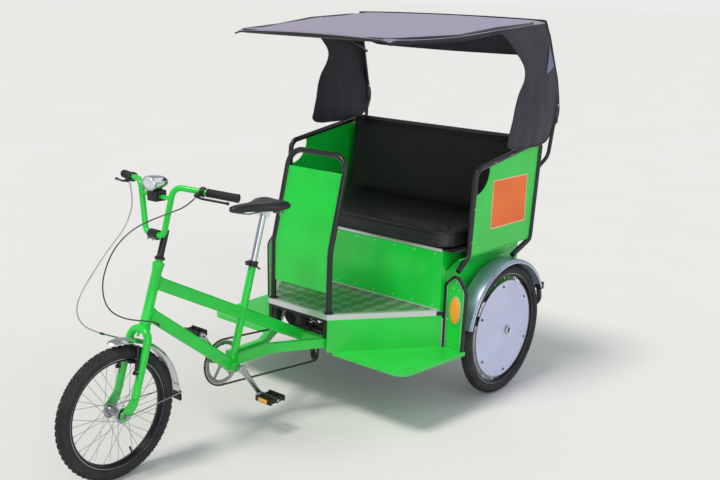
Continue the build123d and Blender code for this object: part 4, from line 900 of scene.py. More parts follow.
@dataclass(frozen=True)
class Steering:
    """Fork, brake, stem, handlebar, lamp and front mudguard."""

    axis: SteeringAxis = SteeringAxis()
    fork_half: float = 52.0
    fork_fore: float = 14.0
    fork_low: float = 70.0
    leg_radius: float = 15.0
    crown: float = 311.7
    stem_foot: float = 585.0
    stem_rise: float = 115.0
    stem_reach: float = 49.0
    bar_radius: float = 11.1
    bar_rise: float = 190.0
    bar_half: float = 322.0
    foot_half: float = 50.0
    shoulder_half: float = 94.0
    bar_sweep: float = 100.0
    bar_drop: float = 22.0
    grip_length: float = 118.0
    pad_radius: float = 200.0
    lamp_stretch: float = 1.35
    fender_radius: float = 285.0
    fender_half: float = 34.0

    @property
    def bar_centre(self) -> Vector:
        """Middle of the handlebar, in its clamp."""
        return self.axis.at(self.stem_foot + self.stem_rise - 25.0, self.stem_reach)

    @property
    def brace(self) -> Vector:
        """Middle of the crossbar."""
        rise = (self.bar_rise - 46.0) / self.bar_rise
        return self.bar_centre + Vector((-14 * rise, 0, self.bar_rise * rise))

    def bar_end(self, side: int) -> tuple[Vector, Vector]:
        """End of the handlebar on one side, and the direction inwards along it."""
        c = self.bar_centre
        end = c + Vector((-14 - self.bar_sweep, side * self.bar_half, self.bar_rise - self.bar_drop))
        shoulder = c + Vector((-14, side * self.shoulder_half, self.bar_rise))
        return end, (shoulder - end).normalized()

    def build(self) -> None:
        """Makes every steered piece but the wheel."""
        self.fork()
        self.brake()
        self.stem()
        self.handlebar()
        self.grips()
        self.levers()
        self.lamp()
        self.mudguard()

    def fork(self) -> None:
        """Thick-legged fork bent from one tube, with its steerer, dropouts and axle nuts."""
        at, crown, half = self.axis.at, self.crown, self.fork_half
        top = crown + 8
        route = [at(self.fork_low, self.fork_fore, half), at(top, self.fork_fore, half),
                 at(top, self.fork_fore, -half), at(self.fork_low, self.fork_fore, -half)]
        body = Blank().tube(route, [44, 44], self.leg_radius, 28)
        body.lathe([(0, crown - 6), (22, crown - 6), (23.5, crown - 4), (23.5, crown + 17),
                    (21.5, crown + 20), (21.5, crown + 26), (14.3, crown + 26),
                    (14.3, self.stem_foot + 2), (0, self.stem_foot + 2)],
                   at(0), self.axis.up, LEFTWARD, steps=36, closed=False)
        body.rod(at(292, self.fork_fore + 8), at(crown + 4, self.fork_fore + 8), 5.5, 16)
        for side in (-1, 1):
            body.rod(at(self.fork_low - 12, self.fork_fore - 2, side * half),
                     at(self.fork_low, self.fork_fore, side * half), 9.0, 28, self.leg_radius)
            boss = at(168, self.fork_fore + 13, side * half)
            body.rod(boss, boss + self.axis.fore * 12, 6.5, 16)
        outline = [(-6, 96), (22, 96), (30, 70), (58, 14), (58, -8), (50, -17), (34, -18), (24, -12),
                   (-2, 40)]
        for side in (-1, 1):
            body.plate([at(along, fore, side * 50.0) for fore, along in outline], (0, side * 6.0, 0))
        body.piece("fork_legs_and_crown", GREEN, "steering", ["fork"])
        axle = Vector(self.axis.axle)
        nuts = Blank().rod(axle - LEFTWARD * 64, axle + LEFTWARD * 64, 4.8, 16)
        for side in (-1, 1):
            for low, high, radius, sides in ((56.3, 58.3, 11.0, 24), (58.3, 66.0, 9.2, 6),
                                             (46.4, 49.8, 8.0, 24)):
                nuts.rod(axle + LEFTWARD * side * low, axle + LEFTWARD * side * high, radius, sides)
        nuts.piece("front_axle_nuts", STEEL, "steering")

    def brake(self) -> None:
        """Two lever arms with rubber pads at the rim, and the wire between them."""
        at = self.axis.at
        fore = self.fork_fore + self.leg_radius + 9.0
        pad_along = math.sqrt(self.pad_radius ** 2 - (fore - self.axis.offset) ** 2)
        arms, pads = Blank(), Blank()
        for side in (-1, 1):
            low = at(pad_along - 36, fore, side * 52.0)
            mid = at(pad_along + 10, fore + 1, side * 50.0)
            tip = at(pad_along + 64, fore, side * 32.0)
            arms.beam(low, mid, 10.0, 13.0, 2.5).beam(mid, tip, 8.5, 11.0, 2.5)
            arms.rod(low - self.axis.fore * 8, low + self.axis.fore * 8, 8.0, 20)
            arms.rod(low + self.axis.fore * 8, low + self.axis.fore * 12, 5.0, 6)
            arms.rod(at(pad_along, fore, side * 29.0), at(pad_along, fore, side * 44.0), 4.0, 16)
            pad, reach = at(pad_along, fore, side * 25.5), Vector((24, 4.5, 6))
            pads.block(pad - reach, pad + reach, Matrix.Rotation(math.radians(-17), 4, "Y"))
        arms.bevelled(0.8).piece("brake_arms", PLASTIC, "steering", ["front_brake"])
        pads.bevelled(1.5).piece("brake_pads", GRIP, "steering")
        noodle = Blank().tube([Vector(FRONT_CABLE.points[-1]), Vector((1682, -58, 519)),
                               at(pad_along + 60, fore, -34.0)], [14], 3.2, 16)
        noodle.piece("brake_cable_elbow", CHROME, "steering")
        tip = at(pad_along + 62, fore + 4)
        wire = Blank().rod(tip - LEFTWARD * 34, tip + LEFTWARD * 36, 0.9, 8)
        wire.rod(tip - LEFTWARD * 24, tip + LEFTWARD * 14, 3.2, 12)
        wire.piece("brake_wire_boot", STEEL, "steering")

    def stem(self) -> None:
        """Quill and forward arm with a two-bolt clamp."""
        at, c = self.axis.at, self.bar_centre
        low, high = self.stem_foot, self.stem_foot + self.stem_rise
        body = Blank().lathe([(0, low), (19, low), (20, low + 2), (20, low + 9), (14.5, low + 12),
                              (13, low + 14), (13, high - 3), (10, high), (0, high)],
                             at(0), self.axis.up, LEFTWARD, steps=36, closed=False)
        body.rod(at(high - 25), c, 13.0, 28)
        body.lathe(mirrored([(11.5, -22), (18, -22), (19, -21)]), c, LEFTWARD, FORWARD, steps=36)
        body.piece("stem_dressed", TUBE_BLACK, "steering", ["stem"])
        bolts = Blank()
        for side in (-1, 1):
            foot = c + Vector((14, side * 14, -12))
            bolts.rod(foot, foot + Vector((8, 0, -3)), 4.2, 6)
        bolts.rod(at(high), at(high + 5), 6.0, 6)
        bolts.piece("stem_bolts", STEEL, "steering")

    def handlebar(self) -> None:
        """Raised handlebar bent from one tube, with its crossbar."""
        c = self.bar_centre
        left = [c + Vector((0, self.foot_half, 0)), c + Vector((-14, self.shoulder_half, self.bar_rise)),
                self.bar_end(1)[0]]
        right = [Vector((p.x, -p.y, p.z)) for p in reversed(left)]
        body = Blank().tube(right + left, [42, 30, 30, 42], self.bar_radius, 28)
        brace = self.brace
        body.rod(brace - LEFTWARD * 83, brace + LEFTWARD * 83, 8.0, 24)
        body.piece("handlebar_bent_tube", GREEN, "steering", ["handlebar"])

    def grips(self) -> None:
        """Ribbed rubber sleeves with a flange and a closed end."""
        body = Blank()
        for side in (-1, 1):
            end, inward = self.bar_end(side)
            profile = [(0.0, -4.0), (14.0, -4.0), (16.0, -2.0), (16.0, 4.0)]
            for i in range(13):
                t = 10 + i * 8
                profile += [(14.4, t - 2.0), (15.6, t), (15.6, t + 2.5), (14.4, t + 4.0)]
            profile += [(16.0, self.grip_length - 3), (16.0, self.grip_length), (11.6, self.grip_length)]
            body.lathe(profile, end, inward, inward.cross(UPWARD).normalized(), steps=28, closed=False)
        body.piece("ribbed_grips", GRIP, "steering", ["grips"], 50.0)

    def levers(self) -> None:
        """Clamp, housing, cable barrel and curved blade of each brake lever."""
        body, blades, barrels = Blank(), Blank(), Blank()
        for side, mouth in ((-1, Vector(FRONT_CABLE.points[0])), (1, Vector(REAR_CABLE.points[0]))):
            end, inward = self.bar_end(side)
            seat = end + inward * (self.grip_length + 10)
            level = Vector((1, 0, -0.35)).normalized()
            body.lathe([(11.5, 0), (17, 0), (18.2, 1.5), (18.2, 14.5), (17, 16), (11.5, 16)], seat, inward,
                       inward.cross(UPWARD).normalized(), steps=32)
            pivot = seat + inward * 8 + level * 30
            body.beam(seat + inward * 8 + level * 10, pivot + level * 5, 17.0, 13.0, 3.0)
            tip = end + inward * 6 + level * 43
            blades.tube([pivot + inward * 8, pivot + level * 13 - inward * 26, tip], [26], 4.4, 14)
            blades.rod(tip - inward * 3, tip + inward * 5, 5.8, 16)
            root = seat + inward * 8 + level * 20
            run = (mouth - root).normalized()
            barrels.rod(root, mouth, 4.4, 20).rod(root + run * 10, root + run * 15, 6.4, 16)
        barrels.piece("cable_barrels", CHROME, "steering")
        body.bevelled(0.8).piece("brake_lever_housings", PLASTIC, "steering", ["brake_levers"])
        blades.piece("brake_lever_blades", RIM_BLACK, "steering")

    def lamp(self) -> None:
        """Broad bright lamp on a black box that clamps the crossbar."""
        brace = self.brace
        x, top = brace.x, brace.z + 8.0
        box = Blank().block((x - 29, -25, brace.z - 19), (x + 25, 25, top + 13)).bevelled(5.0, 3)
        box.rod((x - 4, -30, brace.z), (x - 4, 30, brace.z), 11.0, 24)
        box.piece("lamp_bracket_box", PLASTIC, "steering")
        z = top + 40.0
        shell = [(0, -46), (8, -45), (15, -40), (20, -31), (23.5, -18), (26, -2), (27.5, 14), (28, 30),
                 (27.5, 34), (25, 34), (25, 26)]
        wide = Matrix.Diagonal((1, self.lamp_stretch, 1, 1))
        Blank().lathe(shell, (x, 0, z), FORWARD, UPWARD, steps=48, closed=False).turned(wide).piece(
            "headlamp_shell", CHROME, "steering", ["headlamp"])
        bezel = [(25, 31), (27.6, 32), (28.4, 34), (27, 36.5), (24.5, 35.5)]
        Blank().lathe(bezel, (x, 0, z), FORWARD, UPWARD, steps=48).turned(wide).piece(
            "headlamp_bezel", CHROME, "steering")
        lens = [(0, 41), (9, 40.4), (17, 38.6), (23.6, 35.4), (24.2, 33)]
        Blank().lathe(lens, (x, 0, z), FORWARD, UPWARD, steps=48, closed=False).turned(wide).piece(
            "headlamp_lens", LENS, "steering", ["lamp_lens"], 60.0)
        foot = Blank().block((x - 18, -14, top + 8), (x + 12, 14, z - 21)).bevelled(3.0, 2)
        foot.piece("headlamp_foot", PLASTIC, "steering")

    def mudguard(self) -> None:
        """Polished guard over the front tyre, drawn to a point in front, with wire stays and a flap."""
        r, half, t = self.fender_radius, self.fender_half, 1.6
        outer = [(r - 13, -half), (r - 12.5, -half + 1), (r - 4, -half * 0.72), (r, -half * 0.4),
                 (r + 0.6, 0), (r, half * 0.4), (r - 4, half * 0.72), (r - 12.5, half - 1), (r - 13, half)]
        inner = [(x - t, y) for x, y in reversed(outer)]
        axle = Vector(self.axis.axle)
        start = math.radians(84)
        guard = Blank().lathe(outer + inner, axle, -LEFTWARD,
                              Vector((math.cos(start), 0, math.sin(start))), 95.0, 48)
        for vert in guard.bm.verts:
            angle = math.degrees(math.atan2(vert.co.z - axle.z, vert.co.x - axle.x)) % 360
            share = smoothstep((angle - 83) / 15)
            vert.co.y *= 0.12 + 0.88 * math.sqrt(share)
        guard.piece("front_mudguard", POLISHED, "steering", ["front_fender"])
        stays = Blank()
        for side in (-1, 1):
            heel = axle + Vector((-r + 10, side * (half + 1), 10))
            stays.tube([heel, axle + Vector((-26, side * 61, 2)), axle + Vector((-10, side * 61, 0))], [14],
                       2.2, 10)
            stays.rod(heel - Vector((6, 0, 0)), heel + Vector((8, 0, -1)), 3.4, 10)
        stays.piece("mudguard_stays", STEEL, "steering")
        edge = ((-26, 14), (26, 14), (31, -22), (24, -31), (-24, -31), (-31, -22))
        flap = Blank().plate([axle + Vector((-r + 1, y, z)) for y, z in edge], (-2.0, 0, 0))
        flap.bevelled(0.6).piece("mudguard_flap", PLASTIC, "steering")


# Wheels


@dataclass(frozen=True)
class WireWheel:
    """Laced wheel with its tyre, worked about its own centre and then put in its place."""

    centre: tuple[float, float, float]
    radius: float
    hub_half: float
    tread: Tread
    body: str
    tyre_node: str
    laced_node: str
    tyre_width: float = 54.0
    rim_seat: float = 45.0
    rim_width: float = 32.0
    rim_depth: float = 16.0
    spoke_count: int = 36

    def build(self) -> None:
        """Makes the tyre, its tread, the rim, the hub and the spokes."""
        self.tyre()
        self.blocks()
        self.rim()
        self.spokes()
        self.valve()

    def turn(self, angle: float, y: float, radius: float) -> Vector:
        """Point at an angle round the wheel, at a place across it and a distance from its axle."""
        x, _, z = self.centre
        return Vector((x + radius * math.cos(angle), self.centre[1] + y, z + radius * math.sin(angle)))

    def tyre(self) -> None:
        """Round tyre with a fine moulding line on each wall."""
        half, r = self.tyre_width / 2, self.radius
        seat = r - self.rim_seat + GAP
        drop = r - half - seat
        widest = math.atan2(math.sqrt(half ** 2 - drop ** 2), -drop)
        profile = []
        for i in range(33):
            angle = widest * (i / 16 - 1)
            swell = half - (3.0 if abs(angle) < 1.1 else 3.0 * max(0.0, 1 - (abs(angle) - 1.1) / 0.15))
            if 1.45 < abs(angle) < 1.56 or 1.9 < abs(angle) < 2.0:
                swell += 0.5
            profile.append((r - half + swell * math.cos(angle), swell * math.sin(angle)))
        Blank().lathe(profile, self.centre, LEFTWARD, FORWARD, steps=120).piece(
            f"{self.tyre_node}_casing", TYRE_BLACK, self.body, [self.tyre_node], 50.0)

    def blocks(self) -> None:
        """Rubber blocks of the tread, in rows round the crown."""
        chevron = self.tread is Tread.CHEVRON
        rows = ([(7.5, 0.0, 16.0, 9.0, 26.0), (17.5, 0.5, 9.0, 7.0, 0.0)] if chevron else
                [(4.0, 0.0, 15.0, 5.6, 10.0), (11.5, 0.5, 12.0, 6.0, -14.0), (18.5, 0.0, 8.0, 5.6, 0.0)])
        count = 60 if chevron else 84
        half, r = self.tyre_width / 2, self.radius
        body = Blank()
        for across, shift, length, width, skew in rows:
            lean = math.asin(across / half)
            for side in (-1, 1):
                for i in range(count):
                    angle = 2 * math.pi * (i + shift + (0.25 if side > 0 else 0.0)) / count
                    outward = Vector((math.cos(angle) * math.cos(lean), side * math.sin(lean),
                                      math.sin(angle) * math.cos(lean)))
                    round_ = Vector((-math.sin(angle), 0, math.cos(angle)))
                    middle = Vector(self.centre) + Vector((math.cos(angle), 0, math.sin(angle))) * (r - half)
                    across_ = outward.cross(round_)
                    turn = Matrix((round_, across_, outward)).transposed().to_4x4()
                    turn = turn @ Matrix.Rotation(math.radians(skew) * side, 4, "Z")
                    spot = Matrix.Translation(middle + outward * (half - 2.1)) @ turn
                    made = bmesh.ops.create_cube(body.bm, size=1.0,
                                                 matrix=spot @ Matrix.Diagonal((length, width, 4.0, 1)))
                    top = [v for v in made["verts"] if (v.co - middle).length > half - 1.2]
                    bmesh.ops.scale(body.bm, vec=(0.86, 0.86, 0.86), verts=top,
                                    space=Matrix.Translation(-(middle + outward * half)))
        body.piece(f"{self.tyre_node}_tread", TYRE_BLACK, self.body)

    def rim(self) -> None:
        """Double-walled rim with its brake track and a bright machined edge."""
        outer, half, depth = self.radius - self.rim_seat, self.rim_width / 2, self.rim_depth
        profile = [(outer - 6, -half + 3), (outer, -half + 1), (outer, -half), (outer - 1, -half - 0.3),
                   (outer - 11, -half + 0.6), (outer - depth + 2, -half * 0.5), (outer - depth, -half * 0.3)]
        Blank().lathe(mirrored(profile), self.centre, LEFTWARD, FORWARD, steps=96).piece(
            f"{self.laced_node}_rim", RIM_BLACK, self.body, [self.laced_node])
        edge = Blank()
        for side in (-1, 1):
            y = side * (half + 0.35)
            edge.lathe([(outer - 3.4, y - 0.3), (outer - 3.2, y + side * 0.5), (outer - 1.4, y + side * 0.5),
                        (outer - 1.2, y - 0.3)], self.centre, LEFTWARD, FORWARD, steps=96)
        edge.piece(f"{self.laced_node}_edge", RIM_BRIGHT, self.body)

    def spokes(self) -> None:
        """Crossed wires with their nipples, and the flanged hub that carries them."""
        wires, nipples = Blank(), Blank()
        reach = self.radius - self.rim_seat - self.rim_depth
        for i in range(self.spoke_count):
            side = 1 if i % 2 else -1
            lead = 1 if (i // 2) % 2 else -1
            rim_angle = 2 * math.pi * i / self.spoke_count
            start = self.turn(rim_angle + lead * math.radians(62), side * (self.hub_half - 8) + lead * 1.4,
                              25.0)
            end = self.turn(rim_angle, side * 2.5, reach + 1)
            wires.rod(start, end, 1.0, 6)
            nipples.rod(end + (start - end).normalized() * 11, end, 2.0, 8)
            wires.rod(start - LEFTWARD * side * 2.4, start + LEFTWARD * side * 2.4, 1.4, 8)
        wires.piece(f"{self.laced_node}_spokes", SPOKE_STEEL, self.body)
        nipples.piece(f"{self.laced_node}_nipples", CHROME, self.body)
        half = self.hub_half
        flange = half - 8
        profile = [(5.2, -half), (13, -half), (14.5, -half + 2), (15.5, -flange - 3), (28, -flange - 2.5),
                   (29, -flange - 1.5), (29, -flange + 1.5), (28, -flange + 2.5), (17, -flange + 5),
                   (13.5, -flange + 14)]
        Blank().lathe(mirrored(profile), self.centre, LEFTWARD, FORWARD, steps=40).piece(
            f"{self.laced_node}_hub", STEEL, self.body)

    def valve(self) -> None:
        """Short valve stem with its cap, inside the rim."""
        foot = self.turn(math.radians(250), 0.0, self.radius - self.rim_seat - self.rim_depth + 2)
        inward = (Vector(self.centre) - foot).normalized()
        body = Blank().rod(foot, foot + inward * 22, 3.0, 12)
        body.rod(foot + inward * 22, foot + inward * 33, 3.8, 12)
        body.piece(f"{self.laced_node}_valve", PLASTIC, self.body)


@dataclass(frozen=True)
class RearWheel:
    """Rear wheel: a laced wheel on a stub shaft, with a flat cover over its outer side."""

    side: Side
    track: float = 1120.0
    radius: float = 307.5
    hub_half: float = 36.0
    cover_radius: float = 229.0

    @property
    def word(self) -> str:
        """The side's name."""
        return self.side.name.lower()

    @property
    def centre(self) -> tuple[float, float, float]:
        """Middle of the wheel."""
        return (0.0, self.side.value * self.track / 2, self.radius)

    def build(self) -> None:
        """Makes the laced wheel and what is on its outer side."""
        body = f"rear_wheel_{self.word}"
        WireWheel(self.centre, self.radius, self.hub_half, Tread.ROAD, body, f"rear_tyre_{self.word}",
                  f"rear_wheel_laced_{self.word}").build()
        self.cover(body)
        self.cap(body)

    def out(self, y: float) -> float:
        """Place across the vehicle, from the wheel's middle outwards."""
        return y * self.side.value

    def round_part(self, profile: Sequence[tuple[float, float]], steps: int, closed: bool = True) -> Blank:
        """Turns a profile about the axle, its places across counted outwards."""
        return Blank().lathe([(r, self.out(t)) for r, t in profile], self.centre, LEFTWARD, FORWARD,
                             steps=steps, closed=closed)

    def cover(self, body: str) -> None:
        """Dished disc with a pressed ring near its edge and six screws."""
        r = self.cover_radius
        skin = [(17.5, 33.4), (38, 33.4), (44, 32.6), (r - 36, 16.4), (r - 33, 17.4), (r - 30, 17.0),
                (r - 12, 14.6), (r - 9, 15.2), (r - 3, 15.0), (r, 14.0), (r, 12.6), (r - 30, 15.2),
                (44, 31.2), (38, 31.9), (17.5, 31.9)]
        self.round_part(skin, 96).piece(
            f"wheel_disc_{self.word}", COVER, body, [f"wheel_cover_{self.word}"], 25.0)
        bead = [(r - 2.6, 14.6), (r - 2.2, 16.0), (r + 0.6, 15.6), (r + 1.4, 13.6), (r + 1.0, 11.6),
                (r - 0.4, 12.2)]
        self.round_part(bead, 96).piece(f"wheel_disc_edge_{self.word}", RIM_BRIGHT, body)
        screws, washers = Blank(), Blank()
        for i in range(6):
            angle = math.radians(60 * i + 24)
            step = Vector((205 * math.cos(angle), self.out(16.0), 205 * math.sin(angle)))
            place = Vector(self.centre) + step
            outward = LEFTWARD * self.side.value
            washers.rod(place - outward, place + outward * 0.9, 8.0, 20)
            screws.rod(place, place + outward * 3.6, 5.2, 16, 4.0)
        washers.piece(f"disc_washers_{self.word}", STEEL, body)
        screws.piece(f"disc_screws_{self.word}", PLASTIC, body)

    def cap(self, body: str) -> None:
        """Bright hub cap ring with a dark middle."""
        ring = [(12, 35.5), (19, 35.5), (20.8, 37), (20.8, 44), (19, 47.2), (14.5, 47.8), (13, 46), (12, 44)]
        self.round_part(ring, 40).piece(f"hub_cap_ring_{self.word}", CHROME, body)
        core = [(0, 45.6), (9, 45.2), (12.6, 43.5), (12.6, 34)]
        self.round_part(core, 32, False).piece(f"hub_cap_core_{self.word}", PLASTIC, body)
        inner = Vector(self.centre)
        shaft = Blank().rod(inner - LEFTWARD * self.out(94), inner + LEFTWARD * self.out(30), 9.9, 28)
        shaft.piece(f"stub_shaft_{self.word}", STEEL, body)


# The cab


@dataclass(frozen=True)
class Cab:
    """Sheet metal, tubes, floor and small fittings of the passengers' cab."""

    floor: float = 455.0
    post: tuple[float, float] = (768.0, 168.0)
    corner_x: float = 360.0
    deck_half: float = 484.0
    rear_x: float = -232.0
    box_front: float = 390.0
    seat_base: float = 735.0
    step_z: float = 290.0
    tube: float = 12.5
    side_y: float = 545.0
    shield_top: float = 1122.0
    shield_bend: float = 720.0
    shield_lean: float = 103.0
    hoop: float = 8.0
    corner_out: float = 598.0
    corner_shoulder: float = 557.0
    corner_peak: float = 630.0
    rail_front: float = 1072.0
    rail_rear: float = 1160.0
    side_low: float = 693.0
    side_front: float = 285.0
    side_rear: float = -268.0
    sign: tuple[float, float, float, float] = (-20.0, 903.0, 290.0, 220.0)
    fender_radius: float = 331.0
    fender_half: float = 44.0
    wheel: tuple[float, float, float] = (0.0, 560.0, 307.5)

    def build(self) -> None:
        """Makes every piece of the cab but the seat's soft goods and the hood."""
        self.kept()
        self.shield()
        self.corners()
        self.sides()
        self.seat_edges()
        self.fenders()
        self.bumper()

    def kept(self) -> None:
        """Finishes the flat pieces whose own shape is shown."""
        paint_nodes(GREEN, "seat_box", "back_panel", "steps", "lower_rails")
        paint_nodes(STEEL_BLACK, "seat_board", "deck_frame", "rear_axle_housing", "jackshaft",
                    "chain_tensioner")
        paint_nodes(FLOOR_PLATE, "floor_deck")
        paint_nodes(TRIM, "floor_trim")

    def rear_line(self, z: float) -> float:
        """Place of the side frames' rear tube at a height."""
        foot = self.side_rear + 38
        return foot + (self.side_rear - foot) * (z - self.side_low) / (self.rail_rear - self.side_low)

    def shield(self) -> None:
        """Grab loop in front of the passengers' knees, with its folded panel and screws."""
        foot = self.floor + 2.3
        x, half = self.post[0] - 6, self.post[1] - 3
        top = self.post[0] - self.shield_lean
        route = over_centre([(x, -half, foot), (x, -half, self.shield_bend), (top, -half, self.shield_top)])
        Blank().tube(route, [200, 70, 70, 200], self.tube, 28).piece(
            "shield_grab_loop", TUBE_BLACK, "frame", ["shield_loop"])
        slope = (top - x) / (self.shield_top - self.shield_bend)
        low, high = 545.0, 1050.0
        edge = half - 10.0
        lean = (high - self.shield_bend) * slope
        outline = [(x, low), (x, self.shield_bend), (x + lean, high), (x + lean + 3, high),
                   (x + 3, self.shield_bend), (x + 3, low)]
        panel = Blank().plate([(px, -edge, pz) for px, pz in outline], (0, 2 * edge, 0)).bevelled(0.7, 1, 20)
        panel.piece("shield_sheet", GREEN, "frame", ["shield_panel"])
        screws = Blank()
        for side in (-1, 1):
            for z in (575, 640, 705, 790, 870, 950, 1025):
                px = x if z < self.shield_bend else x + (z - self.shield_bend) * slope
                screws.dome((px + 3.2, side * (edge - 10), z), FORWARD, 4.0, 2.2)
                screws.dome((px - 0.2, side * (edge - 10), z), -FORWARD, 4.0, 2.2)
        screws.piece("shield_screws", STEEL, "frame")
        feet = Blank()
        for side in (-1, 1):
            feet.rod((x, side * half, foot - 0.5), (x, side * half, foot + 5), 21.0, 28)
        feet.bevelled(1.2).piece("shield_feet", TUBE_BLACK, "frame")

    def corners(self) -> None:
        """Panel that faces forward before each rear wheel, in its hoop, with reflector and rivets."""
        x, inner = self.corner_x, self.deck_half + GAP + self.hoop
        peak, foot = (inner + self.corner_out) / 2, self.step_z + GAP
        route = [(inner, foot), (inner, self.corner_shoulder + 20), (peak, self.corner_peak),
                 (self.corner_out, self.corner_shoulder), (self.corner_out - 8, foot)]
        Blank().tube([(x, y, z) for y, z in route], [30, 24, 40], self.hoop, 20).both().piece(
            "corner_hoops_bent", TUBE_BLACK, "frame", ["corner_hoops"])
        Blank().plate([(x - 1.5, y, z) for y, z in route], (3.0, 0, 0)).both().piece(
            "corner_sheets", GREEN, "frame", ["corner_panels"])
        line = [(x + 7.0, y + s, z) for (y, z), s in zip(route[:2] + route[3:], (9.5, 9.5, -9.5, -9.5))]
        rim_line = Blank()
        rim_line.tube([line[0], line[1], (x + 7.0, peak, self.corner_peak - 11), line[2], line[3]],
                      [26, 20, 34], 1.3, 8)
        rim_line.both().piece("corner_bright_lines", TRIM, "frame")
        self.reflectors(x + 1.5, peak)
        rivets = Blank()
        for y, z in ((peak - 14, 566), (peak + 14, 562), (peak, 592), (inner + 14, 330),
                     (self.corner_out - 22, 330), (inner + 14, 420), (self.corner_out - 17, 420)):
            rivets.dome((x + 1.6, y, z), FORWARD, 4.2, 2.4)
        rivets.both().piece("corner_rivets", TRIM, "frame")

    def reflectors(self, x: float, y: float) -> None:
        """Domed oval lens on each corner panel, in its frame."""
        z, half_w, half_h = 468, 26, 60

        def oval(out: float, wide: float, high: float) -> list[Point]:
            """Ring round the reflector's middle."""
            return [(x + out, y + wide * math.cos(t), z + high * math.sin(t)) for t in round_angles(40)]

        domed = [oval(out, half_w * scale, half_h * scale) for out, scale in
                 ((0.3, 1.0), (6.5, 1.0), (9.0, 0.93), (10.4, 0.75), (10.9, 0.4))]
        Blank().loft(domed).both().piece(
            "amber_reflector_lenses", AMBER, "frame", ["corner_reflectors"], 50.0)
        rim = [oval(out, half_w + grow, half_h + grow) for out, grow in
               ((0.1, 4.0), (3.5, 3.6), (4.5, 2.2), (4.5, 0.4))]
        Blank().loft(rim).both().piece("reflector_frames", TRIM, "frame", (), 30.0)

    def sides(self) -> None:
        """Folded side panels with their tube, crease, grip notch and blank sign."""
        fender_x = -85.0
        on_fender = self.wheel[2] + math.sqrt((self.fender_radius + 10.7) ** 2 - fender_x ** 2)
        corners = [(self.side_front, self.side_low), (self.side_front - 22, self.rail_front),
                   (self.side_rear, self.rail_rear), (self.side_rear + 38, self.side_low),
                   (fender_x, on_fender)]
        nose = (self.corner_x - 4, self.corner_peak + self.hoop + 4)
        route = [(x, self.side_y, z) for x, z in [nose] + corners]
        Blank().tube(route, [40, 45, 30, 30], self.tube, 28).both().piece(
            "side_frame_tubes", TUBE_BLACK, "frame", ["side_frames"])
        self.side_sheets()
        self.signs()
        bolts = Blank()
        for x, z in ((self.side_front - 4, 760), (self.side_front - 12, 905), (self.rear_line(780) + 1, 780),
                     (self.rear_line(960) + 1, 960), (self.rear_line(1090) + 1, 1090), (0, 1117.5),
                     (130, 1095)):
            bolts.dome((x, self.side_y + self.tube - 0.5, z), LEFTWARD, 4.6, 3.0)
        bolts.both().piece("side_frame_bolts", STEEL, "frame")

    def side_sheets(self) -> None:
        """The green sheet inside the side tube, creased at its foot and turned in to the floor."""
        low = self.side_low
        notch_x, notch_z, notch_r = self.side_front - 22.0, self.rail_front, 110.0
        front_top = []
        for i in range(13):
            angle = math.radians(-86 - 86 * i / 12)
            front_top.append((notch_x + notch_r * math.cos(angle), notch_z + notch_r * math.sin(angle)))
        rear = [(self.side_rear + 6, self.rail_rear - 4), (self.side_rear + 40, low + 2)]
        outline = [(self.side_front - 3, low + 2), *front_top, (notch_x - notch_r + 4, notch_z + 16), *rear]
        sheet = Blank().plate([(x, self.side_y - 1.5, z) for x, z in outline], (0, 3.0, 0))
        sheet.both().piece("side_sheets", GREEN, "frame", ["side_panels"], 20.0)
        inner = self.deck_half + GAP
        drop = self.side_y - inner
        fold = [(self.side_y + 1.5, low + 3), (self.side_y + 1.5, low - 1), (inner + 3, low - drop),
                (inner + 3, low - drop - 60), (inner, low - drop - 60), (inner, low - drop + 0.5),
                (self.side_y - 1.5, low)]
        flange = Blank().plate([(-84.0, y, z) for y, z in fold], (self.corner_x - 2 + 84.0, 0, 0))
        flange.both().piece("side_sheet_folds", GREEN, "frame", (), 20.0)
        fore, aft, foot = self.side_front, self.side_rear, low + 14
        crease = Blank()
        for x0, z0, x1, z1, out, radius, facets in (
                (fore - 14, low + 6, aft + 52, low + 6, 1.2, 2.6, 12),
                (fore - 17, foot, fore - 30, notch_z - notch_r - 12, 1.8, 0.9, 8),
                (aft + 53, foot, aft + 21, 1128, 1.8, 0.9, 8)):
            y = self.side_y + out
            crease.tube([(x0, y, z0), (x1, y, z1)], [], radius, facets)
        crease.both().piece("side_sheet_creases", GREEN, "frame")

    def signs(self) -> None:
        """Bare orange boards with a thin pale border, screwed to the side sheets."""
        x, z, width, height = self.sign
        low = self.side_y + 1.8
        for grow, thick, name, finish, stands in ((0.0, 1.5, "sign_borders", SIGN_EDGE, ["sign_plates"]),
                                                  (-5.0, 1.9, "sign_boards", SIGN, [])):
            half_w, half_h, r = width / 2 + grow, height / 2 + grow, 8.0
            outline = []
            for k, (sx, sz) in enumerate(((1, -1), (1, 1), (-1, 1), (-1, -1))):
                for i in range(5):
                    angle = math.radians(-90 + 90 * k + 90 * i / 4)
                    outline.append((x + sx * (half_w - r) + r * math.cos(angle), low,
                                    z + sz * (half_h - r) + r * math.sin(angle)))
            Blank().plate(outline, (0, thick, 0)).both().piece(name, finish, "frame", stands)
        screws = Blank()
        for sx in (-1, 1):
            for sz in (-1, 1):
                place = (x + sx * (width / 2 - 13), low + 2.0, z + sz * (height / 2 - 13))
                screws.dome(place, LEFTWARD, 3.6, 1.8)
        screws.both().piece("sign_screws", STEEL, "frame")

